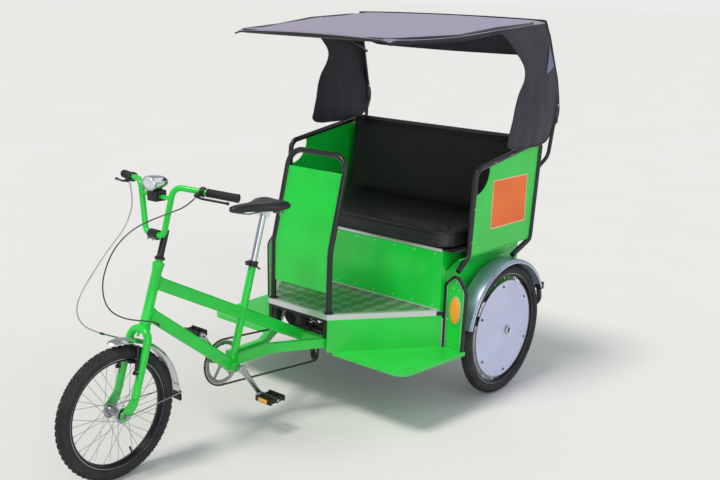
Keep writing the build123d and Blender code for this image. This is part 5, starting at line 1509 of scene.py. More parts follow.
    def seat_edges(self) -> None:
        """Pale edge along the seat box, its rivets and the rear panel's stiffening beads."""
        y = self.deck_half - 4
        edge = Blank().block((self.box_front - 1, -y, self.seat_base - 12),
                             (self.box_front + 3.0, y, self.seat_base + 1))
        edge.block((self.box_front - 1, -y, self.floor + 3), (self.box_front + 2.5, y, self.floor + 9))
        edge.bevelled(0.9).piece("seat_box_edges", TRIM, "frame")
        rivets = Blank()
        for i in range(9):
            for z in (self.seat_base - 26, self.floor + 24):
                rivets.dome((self.box_front + 0.2, -440 + 110 * i, z), FORWARD, 4.0, 2.0)
        rivets.piece("seat_box_rivets", TRIM, "frame")
        rail_z = self.rail_rear - 11.0
        rail_x = self.rear_line(rail_z) + 8.0
        rail = Blank().rod((rail_x, -self.side_y + 12, rail_z), (rail_x, self.side_y - 12, rail_z),
                           self.tube, 28)
        rail.piece("backrest_top_tube", TUBE_BLACK, "frame", ["backrest_rail"])

    def fenders(self) -> None:
        """Arched guard over each rear tyre, with a bright rolled bead on its outer edge."""
        r, half = self.fender_radius, self.fender_half
        outer = [(r - 16, -half), (r - 6, -half + 0.5), (r - 2.5, -half + 3), (r - 0.6, -half + 9), (r, 0),
                 (r - 0.6, half - 9), (r - 2.5, half - 3), (r - 6, half - 0.5), (r - 16, half)]
        inner = [(a - 1.6 if abs(b) < half - 1 else a, b * (1 - 1.6 / half)) for a, b in reversed(outer)]
        start = math.radians(12)
        radial = Vector((math.cos(start), 0, math.sin(start)))
        Blank().lathe(outer + inner, self.wheel, -LEFTWARD, radial, 140.0, 64).both().piece(
            "rear_mudguards", FENDER, "frame", ["rear_fenders"])
        bead = Blank()
        for side in (-1, 1):
            y = side * (half - 1.2)
            ring = [(r - 16 + 3.0 * math.cos(t), y + 3.0 * math.sin(t)) for t in round_angles(10)]
            bead.lathe(ring, self.wheel, -LEFTWARD, radial, 140.0, 64)
        bead.both().piece("rear_mudguard_beads", POLISHED, "frame")
        stays = Blank()
        for angle, x, z in ((150, -95, 318), (20, 110, 420)):
            t = math.radians(angle)
            tip = Vector((self.wheel[0] + (r - 14) * math.cos(t), self.wheel[1] - half - 1,
                          self.wheel[2] + (r - 14) * math.sin(t)))
            stays.rod(tip, (x, self.deck_half - 2, z + 120 if angle == 20 else z + 130), 4.0, 14)
        stays.both().piece("rear_mudguard_stays", STEEL, "frame")

    def bumper(self) -> None:
        """Tube across the back on two bent arms, with a reflector block on each turned-up end."""
        x, z, half = -466.0, 300.0, 500.0
        ends = [(x + 26, half, z + 96), (x, half, z)]
        body = Blank().tube(over_centre(ends), [60, 60], self.tube, 28)
        arm_z = self.floor - 20
        wide = self.tube + 0.5
        inner, outer = x + wide, x - wide
        arm = [(self.rear_x - GAP, arm_z + wide), (inner, arm_z + wide), (outer, arm_z - wide), (outer, z),
               (inner, z), (inner, arm_z - 2 * wide), (inner + wide, arm_z - wide),
               (self.rear_x - GAP, arm_z - wide)]
        for side in (-1, 1):
            bracket = Blank().plate([(a, side * 300 - 4, c) for a, c in arm], (0, 8, 0)).bevelled(1.5)
            body.take(bracket)
            body.rod((x, side * 300 - 5, z), (x, side * 300 + 5, z), wide + 1.5, 28)
        body.piece("rear_bumper_tubes", TUBE_BLACK, "frame", ["rear_bumper"])
        ex, ez = ends[0][0], ends[0][2]
        block = Blank().block((ex - 13, half - 22, ez + GAP), (ex + 8, half + 22, ez + 34))
        block.bevelled(3.0, 3).both().piece("bumper_end_blocks", PLASTIC, "frame", ["rear_reflectors"])
        lens = Blank().block((ex - 15.5, half - 18, ez + 4), (ex - 12.5, half + 18, ez + 30))
        lens.bevelled(1.5, 2).both().piece("bumper_red_lenses", RED, "frame")


CAB = Cab()


# Hood and its bows


@dataclass(frozen=True)
class Hood:
    """Canvas hood on a rear bow and a braced roof bow: a roof that narrows forward, and two cheeks."""

    half: float = 585.0
    top_half: float = 550.0
    thick: float = 2.4
    top_rear: float = 1705.0
    front_x: float = 750.0
    front_half: float = 430.0
    knee: tuple[float, float] = (400.0, 530.0)
    roof_rear: float = -232.0
    rear_x: float = -376.0
    valance: float = 24.0
    cheek_x: float = 150.0
    flare_z: float = 1440.0
    drop_z: float = 1545.0
    bow: float = 9.0

    def roof_z(self, x: float) -> float:
        """Height of the roof's edge."""
        return along_table([(self.front_x, self.top_rear - 73), (self.knee[0], self.top_rear - 55),
                            (self.cheek_x, self.top_rear - 24), (self.roof_rear, self.top_rear)], x)

    def half_at(self, x: float) -> float:
        """Half width of the roof."""
        return along_table([(self.front_x, self.front_half), self.knee, (self.cheek_x, self.top_half + 3),
                            (self.roof_rear, self.top_half)], x)

    def flare(self, z: float) -> float:
        """Half width between the cheeks at a height."""
        return along_table([(self.flare_z, self.half - 1), (self.top_rear, self.top_half - 1)], z)

    def build(self) -> None:
        """Makes the cloth and what carries it."""
        self.cloth()
        self.rear_drop()
        self.bows()
        self.fittings()

    def stations(self) -> tuple[list[float], int]:
        """Places of the roof's cross lines, from front to rear, and the first that has a cheek under it."""
        fore = [self.front_x, self.front_x - 5] + [self.front_x - (self.front_x - self.cheek_x) * i / 26
                                                   for i in range(1, 26)]
        aft = [self.cheek_x - (self.cheek_x - self.roof_rear) * i / 22 for i in range(23)]
        return fore + aft, len(fore)

    def cheek_point(self, share: float, fall: float, x: float) -> tuple[float, float]:
        """Place on a cheek: share runs from its front edge to its rear one, and fall from top to bottom."""
        top = self.roof_z(x) - self.valance - 4
        hem = along_table([(0.0, 1172), (0.08, 1150), (0.2, 1143), (0.7, 1143), (0.85, 1154), (1.0, 1196)],
                          share)
        z = top + (hem - top) * fall
        front = along_table([(1160, 88), (1180, 72), (1230, 60), (1272, 46), (1335, 36), (1394, 12),
                             (1430, -18), (1458, -34), (1490, -36), (1513, -26), (1535, -4), (1557, 24),
                             (1600, 74), (1630, 112), (1652, self.cheek_x)], z)
        rear = along_table([(1190, -340), (1240, -366), (1280, self.rear_x + 1), (1350, -354), (1640, -256),
                            (1700, self.roof_rear)], z)
        return front + (rear - front) * share, z

    def cloth_point(self, i: int, across: float, rows: tuple[int, int, int], xs: list[float],
                    first: int) -> tuple[Vector, bool]:
        """Gives one point of the cloth.

        Args:
            i: Station along the hood.
            across: Row across it, from -1 at the left hem to 1 at the right.
            rows: Rows of cheek, drop edge and half roof.
            xs: Places of the stations.
            first: First station with a cheek.

        Returns:
            The point, and whether it is cloth there.
        """
        cheek, drop, roof = rows
        side = -1 if across > 0 else 1
        k = abs(across) * (cheek + drop + roof)
        x = xs[i]
        edge = self.half_at(x)
        height = self.roof_z(x)
        if k <= roof:
            y = edge * k / roof
            share = k / roof
            crown = 9.0 * (1 - share ** 2) - 7.0 * smoothstep((share - 0.9) / 0.1)
            spans = ((self.front_x - 24, self.knee[0]), (self.knee[0], self.roof_rear + 24))
            sag = sum(6.0 * math.sin(math.pi * (a - x) / (a - b)) for a, b in spans if b < x < a)
            roll = 13.0 * smoothstep(1 - (self.front_x - x) / 16)
            top = height - 6 + crown - sag - roll + self.wrinkle(x, y, edge)
            return Vector((x, side * (y - 4 * smoothstep((share - 0.93) / 0.07)), top)), True
        if k <= roof + drop:
            fall = (k - roof) / drop
            depth = self.valance + 4
            out = 2.2 * math.sin(math.pi * fall) + 1.2 * math.sin(x / 40) * fall
            roll = 10.0 * smoothstep(1 - (self.front_x - x) / 16) * (1 - fall)
            return Vector((x, side * (edge - 1 + out - (1 - fall) * 3),
                           height - 10 - roll - fall * (depth - 6))), True
        if i < first:
            return Vector((x, side * edge, height - self.valance)), False
        fall = (k - roof - drop) / cheek
        share = (i - first) / (len(xs) - 1 - first)
        px, pz = self.cheek_point(share, fall ** 0.9, x)
        belly = 5.0 * math.sin(math.pi * share) * math.sin(math.pi * fall)
        folds = 3.2 * math.sin(9 * share + 5 * fall) * (1 - fall) * share
        folds += 1.5 * math.sin(26 * share - 8 * fall) * fall
        pull = -16.0 * fall ** 2 * smoothstep((share - 0.55) / 0.45) - 6.0 * fall
        return Vector((px, side * (self.flare(pz) + belly + folds + pull), pz)), True

    def wrinkle(self, x: float, y: float, edge: float) -> float:
        """Rise of the folds that fan out over the roof from its rear corners."""
        far = math.hypot(x - self.roof_rear, y - edge)
        turn = math.atan2(edge - y, x - self.roof_rear)
        fade = smoothstep(far / 160) * smoothstep((self.front_x - x) / 160) * math.exp(-(far / 620) ** 2)
        return 3.4 * fade * math.sin(15 * turn + 0.6 * math.sin(far / 90))

    def cloth(self) -> None:
        """Cuts one continuous sheet from a grid, and gives it its hem."""
        xs, first = self.stations()
        rows = (18, 3, 14)
        total = 2 * sum(rows)
        bm = bmesh.new()
        bmesh.ops.create_grid(bm, x_segments=len(xs) - 1, y_segments=total, size=1.0)
        loose = []
        for vert in bm.verts:
            i = round((vert.co.x + 1) / 2 * (len(xs) - 1))
            vert.co, cloth = self.cloth_point(i, vert.co.y, rows, xs, first)
            if not cloth:
                loose.append(vert)
        bmesh.ops.delete(bm, geom=loose, context="VERTS")
        bmesh.ops.recalc_face_normals(bm, faces=bm.faces)
        if sum(f.normal.z * f.calc_area() for f in bm.faces) < 0:
            bmesh.ops.reverse_faces(bm, faces=bm.faces)
        self.hem(bm)
        area = sum(f.calc_area() for f in bm.faces) / 1e6
        hood = self.sewn(bm, "canvas_hood", ["canopy"])
        round_ = hood.modifiers.new("round", "SUBSURF")
        round_.levels = round_.render_levels = 1
        self.patch(xs, first, rows)

    def rear_drop(self) -> None:
        """Hangs a short curtain from the roof's rear edge, between the cheeks, with a rolled lower edge."""
        bm = bmesh.new()
        bmesh.ops.create_grid(bm, x_segments=36, y_segments=8, size=1.0)
        flat_width = 2 * (self.flare(self.drop_z) - 1)
        for vert in bm.verts:
            across, fall = vert.co.x, (1 - vert.co.y) / 2
            low = self.drop_z - 8 * (1 - across ** 2) + 22 * smoothstep((abs(across) - 0.8) / 0.2)
            top = self.top_rear - 4 + 7 * (1 - across ** 2)
            z = top + (low - top) * fall
            x = along_table([(1350, -354), (1640, -256), (1700, self.roof_rear)], z)
            ripple = 3.5 * math.sin(11 * across + 2 * fall) * fall * (1 - across ** 4)
            vert.co = (x + 1.0 + ripple, across * (self.flare(z) - 2), z)
        bmesh.ops.recalc_face_normals(bm, faces=bm.faces)
        if sum(f.normal.x * f.calc_area() for f in bm.faces) > 0:
            bmesh.ops.reverse_faces(bm, faces=bm.faces)
        self.hem(bm, "hood_rear_hem")
        drop = self.sewn(bm, "hood_rear_drop", ())

    def sewn(self, bm: bmesh.types.BMesh, name: str, stands_for: Sequence[str]) -> bpy.types.Object:
        """Finishes a cut of canvas with its thickness."""
        bmesh.ops.transform(bm, matrix=CAB_TO_FRAME, verts=bm.verts)
        made = dress(mesh_of(bm, name), name, HOOD, "frame", stands_for, 80.0)
        wall = made.modifiers.new("thickness", "SOLIDIFY")
        wall.thickness, wall.offset = self.thick / 1000, -1.0
        return made

    def hem(self, bm: bmesh.types.BMesh, word: str = "hood_rolled_hem") -> None:
        """Sews a rolled hem round the free edge of the cloth."""
        left = dict.fromkeys(e for e in bm.edges if e.is_boundary)
        number = 0
        while left:
            edge = next(iter(left))
            del left[edge]
            loop, tip = [edge.verts[0]], edge.verts[1]
            while tip is not loop[0]:
                loop.append(tip)
                edge = next(e for e in tip.link_edges if e in left)
                del left[edge]
                tip = edge.other_vert(tip)
            number += 1
            sewn_cord(f"{word}_{number}", [v.co.copy() for v in loop], True)

    def patch(self, xs: list[float], first: int, rows: tuple[int, int, int]) -> None:
        """Sews the pale three-cornered patch high at the rear of each cheek."""
        body = Blank()
        corners = []
        for share, fall in ((0.90, 0.13), (0.86, 0.17), (0.76, 0.235), (0.60, 0.34), (0.74, 0.325),
                            (0.90, 0.305), (0.905, 0.22)):
            along = first + share * (len(xs) - 1 - first)
            i = int(along)
            k = (rows[2] + rows[1] + fall * rows[0]) / sum(rows)
            near, far = (self.cloth_point(n, -k, rows, xs, first)[0] for n in (i, min(i + 1, len(xs) - 1)))
            corners.append(near + (far - near) * (along - i) + Vector((0, 3.0, 0)))
        body.plate(corners, (0, 1.6, 0)).both()
        body.piece("hood_corner_patches", HOOD_PATCH, "frame", (), 60.0)

    def bows(self) -> None:
        """Rear bow on the side frames, roof bow under the cloth and a brace on each side."""
        drop = 4.0 + self.bow + GAP
        y = self.top_half - drop - 1
        knee_y = self.half - drop - 1
        rear_top = self.roof_rear + 12
        half = [(CAB.side_rear + 6, CAB.side_y, 1030), (self.rear_x + 50, CAB.side_y + 12, 1080),
                (self.rear_x + 28, knee_y, 1320), (rear_top, y, self.roof_z(rear_top) - drop - 1)]
        Blank().tube(over_centre(half), [60, 90, 60, 60, 90, 60], self.bow, 24).piece(
            "rear_bow_bent", TUBE_BLACK, "frame", ["rear_bow"])
        back = rear_top + 2 * self.bow + GAP
        plan = [(rear_top + self.bow, y - 90), (back + 60, y), (self.cheek_x, y),
                (self.knee[0], self.knee[1] - drop - 3),
                (self.front_x - drop - 2, self.front_half - drop - 1)]
        half = [(a, b, self.roof_z(a) - drop - 3) for a, b in plan]
        loop = Blank().tube(over_centre(half), [40, 60, 60, 60, 60, 60, 60, 40], self.bow, 24)
        cross_x, cross_y = self.knee[0], self.knee[1] - drop - 6
        cross_z = self.roof_z(cross_x) - drop - 3
        loop.rod((cross_x, -cross_y, cross_z), (cross_x, cross_y, cross_z), self.bow - 1, 20)
        inside = (y + knee_y) / 2 - self.bow - 6 - GAP
        low_z = 1500.0
        run, rise = rear_top - self.rear_x - 28, self.roof_z(rear_top) - drop - 1321
        low_x = self.rear_x + 28 + run * (low_z - 1320) / rise
        for side in (-1, 1):
            loop.rod((low_x - 6, side * inside, low_z), (100, side * (y - 4), self.roof_z(100) - drop - 3),
                     6.0, 20)
        loop.piece("roof_bow_bent", TUBE_BLACK, "frame", ["roof_bow"])

    def fittings(self) -> None:
        """Knee bolts on the bows and a snap strap round the foot of each rear bow."""
        bolts = Blank()
        for x, y, z, r in ((self.rear_x + 30, self.half - 14.3, 1318, 8.0),
                           (100, self.top_half - 19, 1670, 5.5),
                           (-290, (self.half + self.top_half) / 2 - 16, 1502, 6.5)):
            for side in (-1, 1):
                out = LEFTWARD * side
                bolts.rod(Vector((x, side * (y - 14), z)), Vector((x, side * (y - 8), z)), r, 6)
                bolts.rod(Vector((x, side * (y - 9), z)), Vector((x, side * (y + 9), z)), r * 0.6, 12)
                bolts.dome(Vector((x, side * (y - 14), z)), -out, r * 0.7, 2.5)
        bolts.piece("hood_knee_bolts", CHROME, "frame")
        straps = Blank()
        for side in (-1, 1):
            x, y, z = self.rear_x + 28, self.half - 18, 1236
            straps.block((x - 13, side * (y - 11), z - 2.0), (x + 13, side * (y + 10), z + 30))
        straps.bevelled(3.0, 2).piece("hood_snap_straps", WEBBING, "frame")


# Soft seat


@dataclass(frozen=True)
class Bench:
    """Bench cushion and backrest: foam under vinyl, boxed, with piping along the seams."""

    half: float = 522.0
    front: float = 412.0
    low: float = 735.3
    thick: float = 82.0
    back_low: float = 105.0
    back_head: float = 80.0
    back_top: float = 1186.0
    back_offset: float = 22.3
    voxel: float = 13.0
    swell_cap: float = 14.0

    def build(self) -> None:
        """Makes the cushion and the backrest."""
        rear = CAB.rear_line(self.low) + self.back_offset + self.back_low + GAP
        self.cushion(rear)
        self.backrest()

    def stuffed(self, name: str, body: Blank, pressed: Callable[[Vector], bool]) -> bpy.types.Object:
        """Args:
            name: The object's name.
            body: The case, a little smaller than the pad.
            pressed: Tells the places that rest on something and stay where they are.

        Returns:
            The object, with a fine even mesh.
        """
        bmesh.ops.transform(body.bm, matrix=CAB_TO_FRAME, verts=body.bm.verts)
        case = add_object(name + "_case", mesh_of(body.bm, name + "_case"))
        even = case.modifiers.new("even", "REMESH")
        even.mode = "VOXEL"
        even.voxel_size = self.voxel / 1000
        mesh = evaluated(case, name + "_even")
        start = [v.co.copy() for v in mesh.vertices]
        pad = add_object(name + "_pad", mesh)
        held = pad.vertex_groups.new(name="pressed")
        held.add([i for i, co in enumerate(start) if pressed(FRAME_TO_CAB @ co)], 1.0, "REPLACE")
        cloth = pad.modifiers.new("fill", "CLOTH")
        cloth.settings.use_pressure = True
        cloth.settings.uniform_pressure_force = 4.0
        cloth.settings.vertex_group_mass = "pressed"
        cloth.settings.effector_weights.gravity = 0.0
        cloth.point_cache.frame_end = 20
        for number in range(1, 21):
            bpy.context.scene.frame_set(number)
        mesh = evaluated(pad, name)
        cap = self.swell_cap / 1000
        for vert, place in zip(mesh.vertices, start):
            step = vert.co - place
            vert.co = place + step * min(1.0, cap / max(step.length, 1e-9))
        bpy.context.scene.frame_set(1)
        return bpy.data.objects.new(name, mesh)

    def cushion(self, rear: float) -> None:
        """Boxed seat cushion, crowned, its front corners rounded."""
        body = Blank()
        inset = 7.0
        low, high = self.low + 0.5, self.low + self.thick - inset
        radius = 90.0
        outline = [(rear + inset, -self.half + inset), (rear + inset, self.half - inset)]
        for side in (1, -1):
            centre = (self.front - radius, side * (self.half - radius))
            for i in range(9):
                angle = math.pi / 2 * (1 - i / 8 if side > 0 else -i / 8)
                outline.append((centre[0] + (radius - inset) * math.cos(angle),
                                centre[1] + (radius - inset) * math.sin(angle)))
        body.plate([(x, y, low) for x, y in outline], (0, 0, high - low)).bevelled(16.0, 4, 50.0)
        pad = self.stuffed("seat_cushion_pad", body, lambda p: p.z < low + 10 or p.x < rear + 14)
        mesh = pad.data
        middle = (rear + self.front) / 2
        reach = (self.front - rear) / 2
        for vert in mesh.vertices:
            p = FRAME_TO_CAB @ vert.co
            lift = (p.z - low) / (high - low)
            u, v = abs(p.x - middle) / reach, abs(p.y) / self.half
            crown = 9.0 * (1 - u ** 2.4) * (1 - v ** 6)
            dip = 5.0 * math.exp(-((abs(p.y) - 250) / 130) ** 2) * (1 - u ** 2)
            p.z = max(self.low + 0.2, p.z + (crown - dip) * max(0.0, lift))
            p.z = min(p.z, self.low + self.thick + 6.0)
            p.x = max(p.x, rear + 0.6)
            p.y = max(-self.half - 2, min(self.half + 2, p.y))
            vert.co = CAB_TO_FRAME @ p
        self.finish(mesh, "seat_cushion_pad", SEAT_VINYL, ["seat_cushion"], 0.8)
        bpy.data.objects.remove(pad)
        for level, name in ((low + 12, "cushion_lower_piping"), (high - 4, "cushion_upper_piping")):
            self.piping(mesh, [(x, y, level) for x, y in outline], name)

    def backrest(self) -> None:
        """Tall pad that thins upwards, leaning on the rear frame."""
        body = Blank()
        inset = 6.0
        low = self.low + 1
        foot = CAB.rear_line(self.low) + self.back_offset
        head = CAB.rear_line(self.back_top) + self.back_offset
        front = foot + self.back_low - inset
        outline = [(front, low), (head + self.back_head - inset, self.back_top - inset),
                   (head + inset, self.back_top - inset), (foot + inset, low)]
        half = self.half - inset
        body.plate([(x, -half, z) for x, z in outline], (0, 2 * half, 0)).bevelled(18.0, 4, 50.0)
        lean = (head - foot) / (self.back_top - self.low)
        pad = self.stuffed("backrest_pad", body, lambda p: p.x < foot + inset + 12 + lean * (p.z - low))
        mesh = pad.data
        for vert in mesh.vertices:
            p = FRAME_TO_CAB @ vert.co
            rise = (p.z - low) / (self.back_top - low)
            depth = p.x - (foot + lean * (p.z - low))
            face = smoothstep(depth / self.back_head)
            roll = 8.0 * math.exp(-((rise - 0.24) / 0.16) ** 2) + 4.0 * math.exp(-((rise - 0.86) / 0.1) ** 2)
            edge = 1 - (abs(p.y) / self.half) ** 8
            p.x += (roll - 5.0) * face * max(0.0, edge)
            p.x = max(p.x, foot + lean * (p.z - low) + 0.4)
            p.z = max(self.low + 0.2, min(self.back_top + 4, p.z))
            p.y = max(-self.half - 2, min(self.half + 2, p.y))
            vert.co = CAB_TO_FRAME @ p
        self.finish(mesh, "backrest_pad", BACK_VINYL, ["backrest"], 0.75)
        bpy.data.objects.remove(pad)
        x = head + self.back_head - inset - 2
        corner = 26.0
        route = [(front, half - 2, low + 30)]
        for share in (0.2, 0.4, 0.6, 0.8):
            z = low + (self.back_top - low) * share
            route.append((front + (x - foot - self.back_low + inset) * share, half - 2, z))
        route.append((x, half - 2, self.back_top - corner - 8))
        route.append((x, half - 8, self.back_top - 10))
        route += [(x, half - 40 - i * 94.0, self.back_top - 8) for i in range(6)]
        twin = [(a, -b, c) for a, b, c in reversed(route[:-1])]
        self.piping(mesh, route + twin, "backrest_piping", False)

    def finish(self, mesh: bpy.types.Mesh, name: str, finish: Finish, stands_for: Sequence[str],
               fill: float) -> None:
        """Dresses a pad and rounds it with one level of subdivision."""
        made = dress(mesh, name, finish, "frame", stands_for, 180.0)
        round_ = made.modifiers.new("round", "SUBSURF")
        round_.levels = round_.render_levels = 1

    def piping(self, mesh: bpy.types.Mesh, ring: Sequence[Point], name: str, closed: bool = True) -> None:
        """Sews a round cord on a pad's face, along the nearest places to a ring of points."""
        tree = BVHTree.FromPolygons([v.co for v in mesh.vertices], [p.vertices[:] for p in mesh.polygons])
        places = []
        count = len(ring)
        for i in range(count if closed else count - 1):
            a, b = Vector(ring[i]), Vector(ring[(i + 1) % count])
            steps = max(1, round((b - a).length / 40))
            places += [a + (b - a) * k / steps for k in range(steps)]
        if not closed:
            places.append(Vector(ring[-1]))
        points = []
        for place in places:
            spot, normal, _, _ = tree.find_nearest(CAB_TO_FRAME @ place)
            points.append(FRAME_TO_CAB @ (spot + normal * 0.0008))
        sewn_cord(name, points, closed)


# Drive


@dataclass(frozen=True)
class Drive:
    """Cranks, chainring, pedals and the two chains."""

    centre: tuple[float, float, float] = (1170.0, 0.0, 288.0)
    crank: float = 165.0
    crank_angle: float = 54.0
    ring_tip: float = 95.0
    ring_y: float = -52.0
    teeth: int = 48
    arm_in: float = 60.0
    arm_out: float = 74.0
    pedal_in: float = 84.0
    pedal_out: float = 176.0
    jack: tuple[float, float] = (620.0, 306.0)
    pulley: tuple[float, float] = (604.0, 166.0)
    rear_y: float = 40.0
    rear_axle_z: float = 307.5
    pitch: float = 12.7

    @property
    def reach(self) -> Vector:
        """Step from the spindle to the right pedal's pin."""
        angle = math.radians(self.crank_angle)
        return Vector((math.cos(angle), 0, math.sin(angle))) * self.crank

    def build(self) -> None:
        """Makes every piece of the drive."""
        self.arms()
        self.ring()
        self.pedals()
        ring = (self.centre[0], self.centre[2], self.ring_tip + 4.0)
        jack = (*self.jack, 37.5)
        self.chain("front_chain_links", "front_chain", [ring, jack, (*self.pulley, 23.5)], self.ring_y)
        self.chain("rear_chain_links", "rear_chain", [jack, (0.0, self.rear_axle_z, 73.5)], self.rear_y)

    def arms(self) -> None:
        """Two forged arms that taper to their pedal bosses, on one spindle."""
        c = Vector(self.centre)
        body = Blank().rod(c - LEFTWARD * 72, c + LEFTWARD * 72, 8.5, 24)
        angle = math.radians(self.crank_angle)
        broad = Vector((-math.sin(angle), 0, math.cos(angle)))
        middle = (self.arm_in + self.arm_out) / 2
        for side in (-1, 1):
            root = c + LEFTWARD * side * middle
            step = -self.reach * side
            rings = []
            for share, wide, thick in ((0.06, 15.5, 6.8), (0.2, 13.0, 6.4), (0.5, 10.8, 5.8), (0.8, 9.6, 5.8),
                                       (0.97, 11.5, 6.6)):
                at = root + step * share
                rings.append([at + broad * wide * squared(math.cos(t), 0.6)
                              + LEFTWARD * thick * squared(math.sin(t), 0.6) for t in round_angles(16, 0.5)])
            body.loft(rings)
            body.lathe(mirrored([(8, -7), (16.5, -7), (18, -5.5)]), root, LEFTWARD, FORWARD, steps=40)
            body.lathe(mirrored([(5, -7), (12, -7), (13, -6)]), root + step, LEFTWARD, FORWARD, steps=32)
            body.rod(root + LEFTWARD * side * 5, root + LEFTWARD * side * 9.5, 9.0, 24)
            body.rod(root + LEFTWARD * side * 7 + step,
                     root + step + LEFTWARD * side * (self.pedal_out - middle), 6.0, 20)
        body.piece("crank_arms", ALLOY, "crankset", ["crank_set"])

    def cog(self, blank: Blank, tip: float, teeth: int, bore: float, x: float, y: float, z: float,
            thick: float) -> None:
        """Adds a toothed ring with an open middle."""
        outer = []
        for i in range(teeth):
            for share, radius in ((-0.34, tip - 5.2), (-0.16, tip - 0.6), (-0.06, tip), (0.06, tip),
                                  (0.16, tip - 0.6), (0.34, tip - 5.2)):
                angle = 2 * math.pi * (i + share) / teeth
                outer.append((x + radius * math.cos(angle), z + radius * math.sin(angle)))
        inner = [(x + bore * math.cos(t), z + bore * math.sin(t)) for t in round_angles(len(outer), 0.5)]
        edges = []
        for ring in (outer, inner):
            edges += blank.closed_ring([(a, y - thick / 2, b) for a, b in ring])
        faces = bmesh.ops.bridge_loops(blank.bm, edges=edges)["faces"]
        made = bmesh.ops.extrude_face_region(blank.bm, geom=faces)["geom"]
        bmesh.ops.translate(blank.bm, verts=verts_in(made), vec=(0, thick, 0))

    def ring(self) -> None:
        """Chainring bolted to a five-armed spider."""
        x, _, z = self.centre
        body = Blank()
        self.cog(body, self.ring_tip, self.teeth, 76.0, x, self.ring_y, z, 3.0)
        body.piece("chainring_toothed", STEEL, "crankset")
        spider = Blank()
        angle = math.radians(self.crank_angle)
        for i in range(5):
            turn = angle + 2 * math.pi * i / 5 + math.pi / 5
            ahead = Vector((math.cos(turn), 0, math.sin(turn)))
            root = Vector((x, self.ring_y - 4.0, z))
            spider.beam(root + ahead * 14, root + ahead * 80, 5.0, 15.0, 1.5)
            spider.rod(root + ahead * 80 - LEFTWARD * 3.5, root + ahead * 80 + LEFTWARD * 6, 6.5, 16)
        spider.lathe([(9, -9), (20, -9), (24, -4), (24, 2), (9, 2)], (x, self.ring_y, z), LEFTWARD, FORWARD,
                     steps=40)
        spider.piece("chainring_spider", ALLOY, "crankset")

    def pedals(self) -> None:
        """Moulded platform pedals with pegs, and a reflector at front and rear."""
        for side in (-1, 1):
            word = "left" if side > 0 else "right"
            tip = Vector(self.centre) - self.reach * side
            low, high = sorted((side * self.pedal_in, side * self.pedal_out))
            body = Blank()
            core = tip + LEFTWARD * low
            body.lathe([(6.2, 0), (11, 0), (12, 2), (12, 90), (11, 92), (6.2, 92)], core, LEFTWARD, FORWARD,
                       steps=28)
            for fore in (-1, 1):
                x0, x1 = sorted((tip.x + fore * 34, tip.x + fore * 43))
                body.block((x0, low + 1, tip.z - 12), (x1, high - 1, tip.z + 12))
            for share in (0.0, 0.5, 1.0):
                y = low + 4 + (high - low - 14) * share
                body.block((tip.x - 40, y, tip.z - 9), (tip.x + 40, y + 7, tip.z + 9))
            body.bevelled(2.0, 2)
            for fore in (-1, 1):
                for k in range(5):
                    x = tip.x + fore * 38.5
                    body.rod((x, low + 12 + k * 17, tip.z - 13), (x, low + 12 + k * 17, tip.z + 13), 2.2, 8)
            body.piece(f"pedal_platform_{word}", PLASTIC, f"pedal_{word}", [f"pedal_{word}"])
            shine = Blank()
            for fore in (-1, 1):
                x0, x1 = sorted((tip.x + fore * 42, tip.x + fore * 46))
                shine.block((x0, low + 22, tip.z - 8), (x1, high - 22, tip.z + 8))
            shine.bevelled(1.2, 2).piece(f"pedal_reflectors_{word}", YELLOW, f"pedal_{word}")

    def chain(self, name: str, node: str, circles: Sequence[tuple[float, float, float]], y: float) -> None:
        """Roller chain round its sprockets, one link to each pitch.

        Args:
            name: The object's name.
            node: The plain band that it is shown in place of.
            circles: Middle and radius of its line at each sprocket, in forward and up.
            y: Its place across the vehicle.
        """
        cloud = []
        for cx, cz, radius in circles:
            cloud += [(cx + radius * math.cos(t), cz + radius * math.sin(t)) for t in round_angles(180)]
        loop = [Vector(cloud[i]) for i in convex_hull_2d(cloud)]
        sides = list(zip(loop, loop[1:] + loop[:1]))
        total = sum((b - a).length for a, b in sides)
        count = 2 * round(total / self.pitch / 2)
        step = total / count
        stops, travelled, want = [], 0.0, 0.0
        for a, b in sides:
            length = (b - a).length
            while want < travelled + length and len(stops) < count:
                stops.append(a + (b - a) * (want - travelled) / length)
                want += step
            travelled += length
        body = Blank()
        stretch = Matrix.Diagonal((2.15, 1, 1, 1))
        for i, (a, b) in enumerate(zip(stops, stops[1:] + stops[:1])):
            spot = Vector(((a.x + b.x) / 2, y, (a.y + b.y) / 2))
            tilt = Matrix.Rotation(-math.atan2(b.y - a.y, b.x - a.x), 4, "Y")
            out = 2.75 if i % 2 else 2.05
            for side in (-1, 1):
                plate = Matrix.Translation(spot + LEFTWARD * side * out) @ tilt @ stretch
                bmesh.ops.create_cone(body.bm, cap_ends=True, segments=8, radius1=3.9, radius2=3.9, depth=0.7,
                                      matrix=plate @ Matrix.Rotation(math.pi / 2, 4, "X"))
            body.rod((a.x, y - 2.4, a.y), (a.x, y + 2.4, a.y), 2.6, 6)
        body.piece(name, CHAIN, "frame", [node])


# Cables


